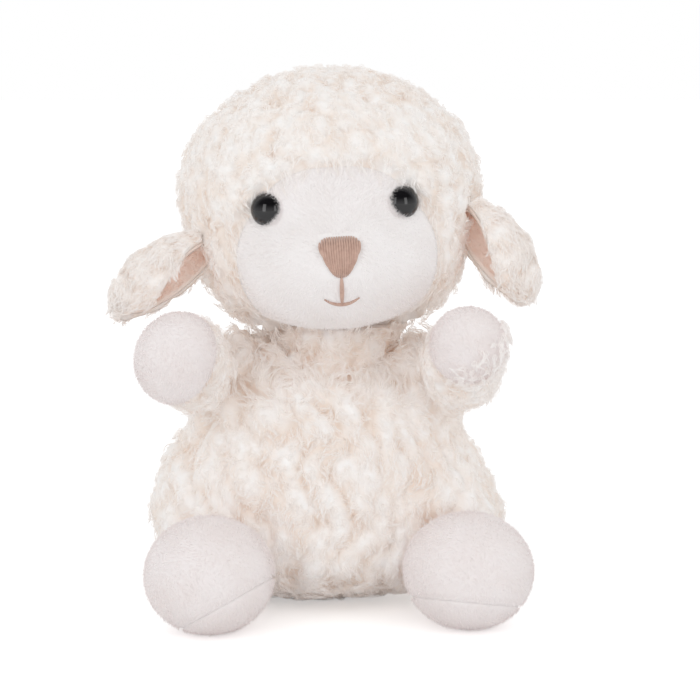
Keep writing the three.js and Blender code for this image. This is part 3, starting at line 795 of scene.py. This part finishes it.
def nap(name, roots, normals, lean, body, material, slot, length=1.3, thick=0.13):
    """Short hairs, each a slim three-sided pyramid that leans over: only four triangles, for soft edges."""
    count = len(roots)
    way = unit(normals * 0.7 + lean + 0.35 * random.normal(size=roots.shape))
    a = unit(np.cross(way, normals + 0.01))
    b = np.cross(way, a)
    feet = rings_round(roots[:, None], np.full((count, 1), thick), a[:, None], b[:, None], 3)[:, 0]
    tips = between_heights(roots + way * length * random.uniform(0.6, 1.2, (count, 1)), low=least_height)
    points = np.concatenate([feet, tips[:, None]], axis=1).reshape(-1, 3)
    sides = np.array([[0, 1, 3], [1, 2, 3], [2, 0, 3], [2, 1, 0]])
    faces = (sides[None] + 4 * np.arange(count)[:, None, None]).reshape(-1, 3)
    corner, cells = own_cells(count)
    chart = np.broadcast_to((corner + [[0.1, 0.1], [0.9, 0.1], [0.5, 0.9]]) / cells, (count, 4, 3, 2))
    link_piece(name, mesh_of(name, points * MM, [faces], [chart]), body, material, slot, smooth=False)
    print(f"{name}: {count} hairs, {4 * count} triangles")


def undercoat(name, surface, tufted, at, body, *stands_for):
    """The matted wool on the backing, with `pile` from 0 in its creases to its most on its crowns, which its
    material turns into painted shade in the creases.
    """
    first, grid, last = surface
    piece = smooth_piece(name, surface, at, body, fleece_under, "fleece", *stands_for)
    pile = np.concatenate([[tufted(first)], tufted(grid).ravel(), [tufted(last)]])
    set_values(piece.data, pile=0.75 * pile, lock=0 * pile)
    return piece


# %% [markdown]
# ## Body
# The undercoat is the trunk's form, a part of the pile's depth under the wool, raised in tufts. Locks stand
# up where the chest meets the neck, and hang lower down, so the way they lean turns from up to down between.

# %% Body undercoat
body_tufts = tufting(6.2, 1.7, 3.0, 1.4)


def body_relief(points):
    """Tufts 4.2 mm deep, and on the shoulders a fuller pile that reaches up to the head."""
    shoulder = np.clip((points[..., 2] - 74) / 8, 0, 1)
    return 4.2 * body_tufts(points) + 3.4 * shoulder * (0.4 + 0.6 * body_tufts(points))


sunk = 0.2  # how far below the undercoat the locks have their roots
under_wool = -4.8  # the creases lie this far outside the trunk, so the crests lie near its surface
body_undercoat = undercoat(
    "body_undercoat", skin(trunk, trunk_middle, under_wool, rows=170, columns=360, raised=body_relief),
    body_tufts, AT_HOME, "torso", "body_fleece",
)

# %% Body wool
def outside_of_neighbours(points):
    """Which points lie clear of the feet, the paws, the head and the floor."""
    clear = (points[:, 2] > 0.3) & (head_world(points) > 1.0)
    for side in SIDES:
        clear &= foot_world[side](points) > 2.5
        clear &= arm_world[side](points) > 2.0
    return clear


roots, normals = roots_on(trunk, trunk_middle, under_wool - sunk, 2.2, raised=body_relief)
crease = 1 - body_tufts(roots - 2.5 * normals)
up_share = np.clip((roots[:, 2:] - 60) / 14, 0, 1) * np.where(roots[:, 1:2] < 15, 1, 0)
fall = np.array([0, 0, -1.0]) * (1 - 1.8 * up_share) + 0.6 * drift(roots, 12)
fall = fall + 0.3 * random.normal(size=roots.shape)
lean = along_surface(fall, normals)
tips = roots + 1.5 * normals + 3 * lean
keep = outside_of_neighbours(roots) & outside_of_neighbours(between_heights(tips, low=1))
low_share = np.clip((13 - roots[:, 2:]) / 8, 0, 1)
wool(
    "body_wool", roots[keep], normals[keep], lean[keep], "torso", crease=crease[keep],
    rise=0.7 + 1.6 * up_share[keep, None], over=2.8 + (1.6 * up_share + 2.6 * low_share)[keep, None],
    turns=0.8,
)

# %% Collar
collar_radius = 22
collar_form = lobe(neck_place, (collar_radius,) * 3)
collar_rim = 91.0


def collar_relief(points):
    return 4.0 * body_tufts(points)


under_collar = -5.4
collar_skin = skin(collar_form, neck_place, under_collar, rows=60, columns=140, raised=collar_relief)
undercoat(
    "collar_undercoat", tuple(between_heights(part, high=collar_rim) for part in collar_skin), body_tufts,
    AT_HOME, "torso",
)
roots, normals = roots_on(collar_form, neck_place, under_collar - 0.1, 2.2, raised=collar_relief)
keep = (roots[:, 2] < collar_rim) & (trunk(roots) > -1.5)
roots, normals = roots[keep], normals[keep]
# Painted shade: the collar's locks count as deeper in their creases than their tufts make them, so they take
# more of the shade colour, as the shaded neck.
crease = np.clip(1.3 - body_tufts(roots), 0, 1)
fall = np.array([0, 0, 0.6]) + 0.5 * random.normal(size=roots.shape)
wool(
    "collar_wool", roots, normals, fall, "torso", crease=crease,
    rise=1.6 + 2.6 * np.clip((roots[:, 2, None, None] - 84) / 6, 0, 1), over=3.2,
    curl=0.6, turns=0.8,
)

# %% [markdown]
# ## Head
# The head's curls are shorter and tighter. They run down from the crown, over the brow they fall onto the
# face, and low on the sides they hang over the neck.

# %% Face outline
face_half = np.array(
    [[0, 60.5], [12, 59.5], [19.5, 55.5], [25, 48], [31, 38], [31.5, 30], [29.5, 22], [24, 13.5], [13, 6],
     [0, 4]]
)
face_loop = np.concatenate([face_half, (face_half * (-1, 1))[-2:0:-1]])
face_heart = np.array([0, (60.5 + 4) / 2])


def face_edge(turn):
    """The outline's distance from the middle of the face in each direction, smooth between its points."""
    away = face_loop - face_heart
    bearing = np.arctan2(away[:, 0], away[:, 1]) % (2 * math.pi)
    order = np.argsort(bearing)
    bearing, size = bearing[order], np.linalg.norm(away, axis=1)[order]
    fine = np.linspace(0, 2 * math.pi, 721)
    rough = np.interp(fine, bearing, size, period=2 * math.pi)
    window = np.hanning(61) / np.hanning(61).sum()
    soft = np.convolve(np.concatenate([rough[-31:-1], rough, rough[1:31]]), window, "valid")
    return np.interp(turn % (2 * math.pi), fine, soft[: len(fine)])


def past_face(points):
    """How far points, in the head's frame, lie outside the face outline as it is seen from the front."""
    away = points[..., [0, 2]] - face_heart
    return np.linalg.norm(away, axis=-1) - face_edge(np.arctan2(away[..., 0], away[..., 1]))


def in_face(points, grow=0.0):
    """Which points, in the head's frame, lie within the face outline and in front."""
    return (past_face(points) < grow) & (points[:, 1] < -6)


# %% Head undercoat and wool
head_tufts = tufting(5.6, 1.3, 2.8, mostly=0.75)


def head_relief(points):
    """Low enough under the face panel to leave it room, and tufted past its edge."""
    covered = np.clip(1.5 - past_face(points) / 2, 0, 1) * (points[..., 1] < -6)
    return (1 - covered) * (0.6 + 3.6 * head_tufts(points) + 2.2 * hanging(points))


def hanging(points):
    """Where the head's wool is longer: low on its sides and back, over the neck."""
    return np.clip((25 - points[..., 2]) / 14, 0, 1) * np.clip((np.abs(points[..., 0]) - 12) / 8, 0, 1)


head_undercoat = undercoat(
    "head_undercoat", skin(head_form, head_middle, 2.2, rows=150, columns=300, pole="y", raised=head_relief),
    head_tufts, head_at, "head", "head_fleece",
)

roots, normals = roots_on(head_form, head_middle, 2.1, 2.5, head_at, raised=head_relief)
local = back_in(roots, head_at)
crown = placed(np.array([0, 8, 95.0]), head_at)
crease = 1 - head_tufts(local)
away = local[:, [0, 2]] - face_heart
fringe = np.exp(-((past_face(local) / 5) ** 2)) * (local[:, 1] < -6) * np.clip((local[:, 2] - 4) / 14, 0.3, 1)
inwards = turned(unit(np.stack([-away[:, 0], 0 * fringe, -away[:, 1]], axis=-1)), head_at)
fall = unit(roots - crown) + 1.3 * fringe[:, None] * inwards
fall = fall + 0.6 * drift(roots, 14) + 0.4 * random.normal(size=roots.shape)
keep = ~in_face(local, -0.4) & (np.linalg.norm(roots - neck_place, axis=1) > collar_radius)
low_share = hanging(local)[keep, None, None]
wool(
    "head_wool", roots[keep], normals[keep], fall[keep], "head", crease=crease[keep],
    rise=0.7 + low_share, over=2.4 + 2.0 * fringe[keep, None, None] + 2.6 * low_share,
)

# %% Face
def on_face(x, z, out):
    """Places on the face's surface, `out` above it, seen from the front: along -Y from the head's middle."""
    start = np.stack([x, 0 * x, z], axis=-1)
    ways = np.broadcast_to([0, -1.0, 0], start.shape)
    return start + ways * reach(head_form, start, ways, plush_out + out)[..., None]


face_thick = 2.4
turn = np.linspace(0, 2 * math.pi, 96, endpoint=False)[None]
share = np.linspace(0, 1, 42)[1:, None]
span = share * face_edge(turn)
x, z = span * np.sin(turn), face_heart[1] + span * np.cos(turn)
front = on_face(x, z, 0)
rim = front[-1:]
rolled = rim - slope(head_form, rim) * np.array([face_thick / 2, face_thick])[:, None, None]
back = on_face(x[-3::-6], z[-3::-6], -face_thick)
face_grid = np.concatenate([front, rolled, back])
first, last = (on_face(np.array(0.0), np.array(face_heart[1]), out) for out in (0, -face_thick))
face = smooth_piece(
    "face", (first, face_grid, last), head_at, "head", face_plush, "plush", "face_panel", flip=True
)

# %% [markdown]
# ## Eyes, nose and mouth
# The eyes are glossy black domes on stems. The nose is satin stitch: upright threads side by side, worked
# to a point, with the mouth in two stitches of the same thread.

# %% Eyes
eye_black, tree, gloss = new_material("eye_black", Coat_Weight=0.5, Coat_Roughness=0.03)
place_on, wear = add_node(tree, "TexCoord"), add_node(tree, "TexNoise", Scale=250.0)
haziness = add_node(tree, "MapRange", To_Min=0.03, To_Max=0.11)
mottle(tree, gloss, linear(0.05, 0.045, 0.055), linear(0.085, 0.08, 0.095), 400.0, 0.7)
wire(
    tree,
    (place_on, "Object", wear, "Vector"),
    (wear, "Fac", haziness, "Value"),
    (haziness, "Result", gloss, "Roughness"),
)

eye_radius, eye_dome, eye_spread, eye_height = 5.3, 4.2, 21.2, 48.4
eye_sunk, eye_rim, stem_radius, stem_length = 0.7, 0.5, 1.5, 10
for side, way in SIDES.items():
    base = on_face(np.array(way * eye_spread), np.array(eye_height), -eye_sunk)
    out_way = slope(head_form, base)
    flat = unit(np.cross([0, 0, 1.0], out_way))
    upright = np.cross(out_way, flat)
    rise = np.linspace(0, 1, 22)[1:, None, None]
    angle = rise * math.pi / 2
    turn = np.linspace(0, 2 * math.pi, 48, endpoint=False)[None, :, None]
    ring = flat * np.cos(turn) + upright * np.sin(turn)
    dome = base + ring * eye_radius * np.sin(angle) + out_way * eye_dome * np.cos(angle)
    rim = base + ring * eye_radius - out_way * eye_rim
    stem = base + ring * stem_radius - out_way * np.array([eye_rim, stem_length])[:, None, None]
    surface = base + out_way * eye_dome, np.concatenate([dome, rim, stem]), base - out_way * stem_length
    smooth_piece(f"{side}_eye_dome", surface, head_at, "head", eye_black, "eye", f"{side}_eye")

# %% Thread
thread, tree, cloth = new_material("embroidery_thread", Roughness=0.6, Sheen_Weight=0.2)
mottle(tree, cloth, linear(0.81, 0.68, 0.62), linear(0.72, 0.58, 0.52), 700.0, 0.8)


def tubes_mesh(name, paths, radii, sides=8):
    """Round tubes along paths (tube, ring, xyz), closed at both ends by a point."""
    count, rings = paths.shape[:2]
    along = unit(np.gradient(paths, axis=1))
    a = unit(np.cross(along, slope(head_form, paths)))
    grids = rings_round(paths, radii, a, np.cross(along, a), sides)
    each = rings * sides + 2
    points = np.concatenate([paths[:, :1], grids.reshape(count, -1, 3), paths[:, -1:]], axis=1)
    quads, ends = (np.roll(faces[:, ::-1], 1, axis=1) for faces in grid_faces(rings, sides))
    start = (np.arange(count) * each)[:, None, None]
    faces = [(quads + start).reshape(-1, 4), (ends + start).reshape(-1, 3)]
    return mesh_of(name, placed(points.reshape(-1, 3), head_at) * MM, faces)


# %% Nose
nose_top, nose_half, nose_drop, threads = 39.9, 6.0, 11.8, 17
place_of = np.linspace(-1, 1, threads)
rows = np.linspace(0, 1, 24)
low_edge = nose_top - nose_drop * (0.45 + 0.55 * np.sqrt(1 - 0.98 * np.abs(place_of) ** 2.4))
high_edge = nose_top + 0.5 - 1.6 * np.abs(place_of) ** 6
z = high_edge[:, None] + (low_edge - high_edge)[:, None] * rows
x = nose_half * place_of[:, None] * (1 - 0.34 * rows**3)
shape = np.sin(math.pi * np.clip(rows, 0.03, 0.97)) ** 0.3
paths = on_face(x, z, 0.35)
paths = paths + slope(head_form, paths) * 0.7 * (np.sin(math.pi * rows) ** 0.5)[None, :, None]
radii = np.broadcast_to(0.50 * shape * (1 - 0.25 * rows), paths.shape[:2])
nose_mesh = tubes_mesh("nose_threads", paths, radii)
link_piece("nose_threads", nose_mesh, "head", thread, "thread", "nose_embroidery")

# %% Mouth
lip_top = nose_top - nose_drop - 1.0
lip = lip_top - 8.1
rows = np.linspace(0, 1, 20)
upright = on_face(0 * rows, lip_top + 1.2 + (lip - lip_top - 1.2) * rows, 0.3)
arc = 2 * rows - 1
smile_half, smile_rise = 5.4, 2
smile = on_face(smile_half * arc, lip + smile_rise * arc**2, 0.25)
taper = np.sin(math.pi * np.clip(rows, 0.04, 0.96)) ** 0.4
mouth_mesh = tubes_mesh("mouth_threads", np.stack([upright, smile]), np.stack([0.7 * taper, 0.55 * taper]))
link_piece("mouth_threads", mouth_mesh, "head", thread, "thread", "mouth_stitches")

# %% Nap of the face
roots, normals = roots_on(head_form, head_middle, plush_out, 0.62, head_at, "y")
local = back_in(roots, head_at)
x, aside, z = local[:, 0], np.abs(local[:, 0]), local[:, 2]
near_eye = np.min([np.hypot(x - way * eye_spread, z - eye_height) for way in (1, -1)], axis=0)
on_nose = (aside < nose_half) & (z < nose_top + 1) & (z > nose_top - nose_drop)
on_mouth = (aside < 1.2) & (z < nose_top) & (z > lip)
on_lip = (aside < 6) & (np.abs(z - lip - smile_rise * (x / smile_half) ** 2) < 0.8)
keep = in_face(local, -0.6) & (near_eye > eye_radius - 0.6) & ~on_nose & ~on_mouth & ~on_lip
roots, normals = roots[keep], normals[keep]
nose_place = placed(np.array([0, -50, nose_top - 4]), head_at)
away = along_surface(unit(roots - nose_place) + 0.3 * drift(roots, 12), normals)
nap("face_nap", roots, normals, away, "head", face_plush, "plush")

# %% Pile over the eyes' inner edges
pile_hairs = 800
for side, way in SIDES.items():
    turn = random.normal(math.pi if way > 0 else 0, 1.0, pile_hairs)
    far = random.uniform(eye_radius - 0.5, eye_radius + 0.6, pile_hairs)
    ring = np.stack([np.cos(turn), np.sin(turn)], axis=-1)
    roots = on_face(way * eye_spread + 0.93 * far * ring[:, 0], eye_height + far * ring[:, 1], -0.4)
    normals = slope(head_form, roots)
    over = along_surface(np.stack([-ring[:, 0], 0 * turn, -ring[:, 1]], axis=-1), normals)
    roots, normals, over = placed(roots, head_at), turned(normals, head_at), turned(over, head_at)
    nap(f"{side}_eye_pile", roots, 1.9 * normals, over, "head", face_plush, "plush", length=2.5, thick=0.12)

# %% [markdown]
# ## Ears
# An ear is a leaf of fleece lined with smooth plush and folded along its ridge, so that its section is an
# open oval.

# %% Ears
ear_place = {"left": (43.5, 46, 54), "right": (41.8, 39, 28)}  # out, up, degrees of droop
ear_at = {}
for side, way in SIDES.items():
    out, up, droop = ear_place[side]
    ear_at[side] = stand((way * out, -17, up), (0, way * droop, -way * 18), way, head_at)


def ear_leaf(share, turn, depth):
    """A point of the leaf: an oval section, swelling from the bead and closing at the tip. Turn is 0 at the
    back edge and 1 at the front edge, which lies higher near the head and shows the lining there."""
    swell = 0.65 + 0.35 * np.sin(np.minimum(share / 0.5, 1) * math.pi / 2)
    close = np.sqrt(1 - (0.99 * np.clip((share - 0.4) / 0.6, 0, 1)) ** 2.4)
    front = 38 + 66 * np.clip(share / 0.75, 0, 1)
    angle = np.radians(-134 + (134 + front) * turn)
    return np.stack([
        1 + (37 - depth) * share + 0 * angle,
        -(10.5 * swell - depth) * close * np.sin(angle),
        (14 * swell - depth) * close * np.cos(angle) - 5,
    ], axis=-1)


ear_tufts = tufting(5.4, 1.0, 2.8)


def ear_relief(points):
    return 2.6 * ear_tufts(points)


def ear_sheet(outer, inner, rows=36, columns=40, raised=flat_pile):
    """The closed surface of a layer of the leaf between two depths, with the outer one raised by a relief."""
    share = np.linspace(0, 1, rows)[:, None]
    turn = np.linspace(0, 1, columns)[None]
    outside = ear_leaf(share, turn, outer)
    outside = ear_leaf(share, turn, outer - raised(outside))
    inside = ear_leaf(share, turn, inner)[:, ::-1]
    grid = np.concatenate([outside, inside], axis=1)[:, ::-1]
    return grid[0].mean(axis=0), grid, grid[-1].mean(axis=0)


lining_depth, root_depth = 6.0, 3.4  # of the hairs' and the locks' roots in the leaf
ear_hairs, ear_locks = 2600, 780
for side, at in ear_at.items():
    ear = undercoat(
        f"{side}_ear_undercoat", ear_sheet(3.3, 3.9, 90, 110, ear_relief), ear_tufts, at, f"{side}_ear",
        f"{side}_ear_fleece",
    )
    ear_inner = smooth_piece(
        f"{side}_ear_inner", ear_sheet(4.0, lining_depth), at, f"{side}_ear", ear_plush, "ear_lining",
        f"{side}_ear_lining",
    )
    share, turn = random.uniform(0, 0.97, ear_hairs), random.uniform(0.01, 0.99, ear_hairs)
    roots = ear_leaf(share, turn, lining_depth)
    tipward = ear_leaf(share + 0.02, turn, lining_depth) - roots
    inwards = unit(ear_leaf(share, turn, lining_depth + 1) - roots)
    roots, tipward, inwards = placed(roots, at), unit(turned(tipward, at)), unit(turned(inwards, at))
    nap(f"{side}_ear_nap", roots, inwards, tipward, f"{side}_ear", ear_plush, "ear_lining")
    share, turn = random.random(ear_locks) ** 0.9, random.uniform(0, 1, ear_locks)
    roots = ear_leaf(share, turn, root_depth)
    crease = 1 - ear_tufts(roots)
    tipward = ear_leaf(share + 0.02, turn, root_depth) - roots
    aside = ear_leaf(share, turn + 0.02, root_depth) - roots
    roots = ear_leaf(share, turn, root_depth - ear_relief(roots))
    normals = unit(np.cross(tipward, aside))
    inwards = ear_leaf(share, turn, 8.0) - roots
    normals = np.where(np.sum(normals * inwards, axis=1, keepdims=True) > 0, -normals, normals)
    roots, normals = placed(roots, at), unit(turned(normals, at))
    fall = unit(turned(tipward, at)) + 0.3 * drift(roots, 14) + 0.25 * random.normal(size=roots.shape)
    wool(
        f"{side}_ear_wool", roots, normals, fall, f"{side}_ear", crease=crease,
        rise=0.6, over=2.8, curl=0.4, turns=0.8,
    )

# %% [markdown]
# ## Arms
# Each sleeve is fleece as far as the wrist, and the paw past it is plush.

# %% Arms
def sewn_half(form, middle, out, pole, rows, columns, pinch=0.0, raised=flat_pile):
    """The part of a form's surface on the pole's side of a plane through `middle`, drawn in at its seam."""
    pole = unit(np.array(pole, float))
    a = unit(np.cross(pole, [1.0, 0.1, 0.05]))
    b = np.cross(pole, a)
    polar = np.linspace(0, math.pi / 2, rows + 1)[1:, None, None]
    turn = np.linspace(0, 2 * math.pi, columns, endpoint=False)[None, :, None]
    ways = pole * np.cos(polar) + (a * np.cos(turn) + b * np.sin(turn)) * np.sin(polar)
    far = reach(form, middle, ways, out)[..., None]
    near_seam = far[-1] * np.cos(polar)
    far = far - pinch * np.exp(-((near_seam / 1.1) ** 2))
    grid = middle + ways * far
    grid = grid + slope(form, grid) * raised(grid)[..., None]
    lip = middle + (grid[-1:] - middle) * np.array([0.92, 0.5])[:, None, None]
    top = middle + pole * reach(form, middle, pole, out)
    return top, np.concatenate([grid, lip]), middle


sleeve_tufts = tufting(6.0, 1.3, 3.0)


# The right paw is fuller below and outside, and its seam slants back there
paw_way = {"left": (0.0, -1.0, 0.0), "right": (0.5, -1.0, -0.15)}
paw_form = {"left": arm_form, "right": filleted(5, arm_form, lobe((2.5, -32, -3.5), (9.3, 11.5, 9.5)))}
cuff_length = {"left": 16, "right": 0}  # how far the sleeve's wool reaches over the paw's outer side
sleeve_out = 1.4

for side, at in arm_at.items():
    middle, way = np.array([0, -wrist, 0]), unit(np.array(paw_way[side]))

    def sleeve_relief(points):
        """Tufts that get shallower towards the wrist, so that the wool runs out onto the paw."""
        return 4.2 * sleeve_tufts(points) * np.clip((1 - (points - middle) @ way) / 8, 0.25, 1)

    surface = sewn_half(arm_form, middle, sleeve_out, -way, rows=110, columns=150, raised=sleeve_relief)
    sleeve = undercoat(
        f"{side}_sleeve_undercoat", surface, sleeve_tufts, at, f"{side}_arm", f"{side}_arm_sleeve"
    )
    paw = smooth_piece(
        f"{side}_paw_plush", sewn_half(paw_form[side], middle, plush_out, way, 40, 72), at, f"{side}_arm",
        foot_plush, "plush", f"{side}_paw",
    )
    roots, normals = roots_on(arm_form, arm_middle, sleeve_out, 2.1, at, "y", sleeve_relief)
    local = back_in(roots, at)
    behind = (middle - local) @ way
    past = np.clip((1.5 - behind) / 2, 0, 1)
    roots = roots + normals * (1.5 * past)[:, None]
    crease = (1 - sleeve_tufts(local)) * (1 - past)
    cuff = cuff_length[side] * np.clip((0.75 * local[:, 0] - 0.65 * local[:, 2] - 1.5) / 4, 0, 1)
    keep = (behind > -0.5 - cuff) & (local[:, 1] < 2) & (trunk(roots) > -5) & (head_world(roots) > 3)
    roots, normals = roots[keep], normals[keep]
    fall = np.array([0, -0.3, -0.8]) + 0.6 * random.normal(size=roots.shape)
    wool(
        f"{side}_sleeve_wool", roots, normals, fall, f"{side}_arm", crease=crease[keep], rise=0.8, over=2.9,
    )
    roots, normals = roots_on(paw_form[side], paw_middle, plush_out, 0.65, at, "y")
    keep = (middle - back_in(roots, at)) @ way < 0.5
    roots, normals = roots[keep], normals[keep]
    away = along_surface(turned(np.array([[0, -0.3, -0.6]]), at) + 0.4 * drift(roots, 10), normals)
    nap(f"{side}_paw_nap", roots, normals, away, f"{side}_arm", foot_plush, "plush")

# %% [markdown]
# ## Feet
# A foot is two pieces of plush, an upper and a sole, sewn together along a seam that slants.

# %% Feet
def above_floor(surface, at):
    """A surface of a piece that stands at `at`, flattened where it would sink into the floor."""
    return tuple(back_in(between_heights(placed(part, at), low=0), at) for part in surface)


sole_tilt, sole_height = {"left": 8, "right": 30}, {"left": 5, "right": 3}
for side, at in leg_at.items():
    seam_way = np.array([math.tan(math.radians(sole_tilt[side])), math.tan(math.radians(10)), 1.0])
    middle = np.array([0, -28, sole_height[side] - 16.0])
    for half, way, rows, node in (("top", seam_way, 60, "foot_upper"), ("base", -seam_way, 30, "foot_sole")):
        surface = above_floor(sewn_half(foot_form, middle, plush_out, way, rows, 96, pinch=0.7), at)
        piece = smooth_piece(
            f"{side}_foot_{half}", surface, at, f"{side}_leg", foot_plush, "plush", f"{side}_{node}",
        )
    roots, normals = roots_on(foot_form, foot_middle, plush_out, 0.75, at, "y")
    local = back_in(roots, at)
    from_seam = (local - middle) @ unit(seam_way)
    keep = (np.abs(from_seam) > 0.5) & (roots[:, 2] > 0.8) & (trunk(roots) > -1)
    roots, normals = roots[keep], normals[keep]
    away = along_surface(np.array([0, -0.3, -0.7]) + 0.4 * drift(roots, 12), normals)
    nap(f"{side}_foot_nap", roots, normals, away, f"{side}_leg", foot_plush, "plush")

# %% [markdown]
# ## Tail
# The photograph doesn't show the tail. A small tuft is the usual one: a rounded pile of wool on a short root
# that is sewn into the back.

# %% Tail
tail_at = stand((0, 41, 36))
tail_middle = np.array([0, 8, -3.0])
tail_form = filleted(4, lobe(tail_middle, (8, 7, 10)), lobe((0, 1, 0), (6.5, 7.5, 6.5)))  # tuft, root


tail_tufts = tufting(5.2, 1.3, 2.8)


def tail_relief(points):
    return 3.6 * tail_tufts(points)


tail = undercoat(
    "tail_undercoat", skin(tail_form, tail_middle, -3.8, rows=70, columns=90, raised=tail_relief),
    tail_tufts, tail_at, "tail", "tail_fleece",
)
roots, normals = roots_on(tail_form, tail_middle, -3.9, 2.0, tail_at, raised=tail_relief)
keep = trunk(roots) > -3
roots, normals = roots[keep], normals[keep]
fall = np.array([0, 0.2, -1.0]) + 0.5 * random.normal(size=roots.shape)
wool("tail_wool", roots, normals, fall, "tail", rise=0.9, over=3.0)

# %% [markdown]
# ## Stuffing
# What fills the covers doesn't show, but it is there: fibre in the limbs, head and body, and pellets in
# the seat.

# %% Stuffing
def filling(name, form, middle, out, at, body, node, pole="z", material=fibre_fill, **limits):
    """The inside of a cover, cut flat where there are limits to its height."""
    whole = skin(form, middle, out, rows=28, columns=40, pole=pole)
    surface = (between_heights(part, **limits) for part in whole)
    piece = smooth_piece(name, surface, at, body, material, "fibre", node)
    return piece


within, bag_top, gap = -7.3, 20.0, 0.3  # how far inside the trunk, the bag's height, and room above it
filling("body_filling", trunk, trunk_middle, within, AT_HOME, "torso", "body_stuffing", low=bag_top + gap)
pellets = filling(
    "pellets", trunk, np.array([0, 0, 14.0]), within, AT_HOME, "torso", "pellet_bag", high=bag_top,
    material=pellet_cloth,
)
filling("head_filling", head_form, head_middle, -0.2, head_at, "head", "head_stuffing", "y")
filling("neck_filling", neck_form, np.zeros(3), 0, stand(neck_place), "neck", "neck_stuffing")
for side in SIDES:
    for limb, body, form, middle, at in (
        ("arm", f"{side}_arm", arm_form, arm_middle, arm_at[side]),
        ("foot", f"{side}_leg", foot_form, foot_middle, leg_at[side]),
    ):
        filling(f"{side}_{limb}_filling", form, middle, 0, at, body, f"{side}_{limb}_stuffing", "y")

# %% Washers
# The washers are plain rings behind the face, so their solids stay as they are and only get a material.
for side in SIDES:
    washer, tree, cloth = new_material(f"{side}_washer_white", Roughness=0.45)
    mottle(tree, cloth, linear(0.91, 0.91, 0.9), linear(0.85, 0.85, 0.84), 200.0, 0.6)
    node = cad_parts[f"{side}_eye_washer"]
    node.data.materials.clear()
    node.data.materials.append(washer)

# %% Sizes
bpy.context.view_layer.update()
meshes = [piece.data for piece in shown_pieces() if piece.type == "MESH"]
print("triangles:", sum(len(mesh.loops) - 2 * len(mesh.polygons) for mesh in meshes))
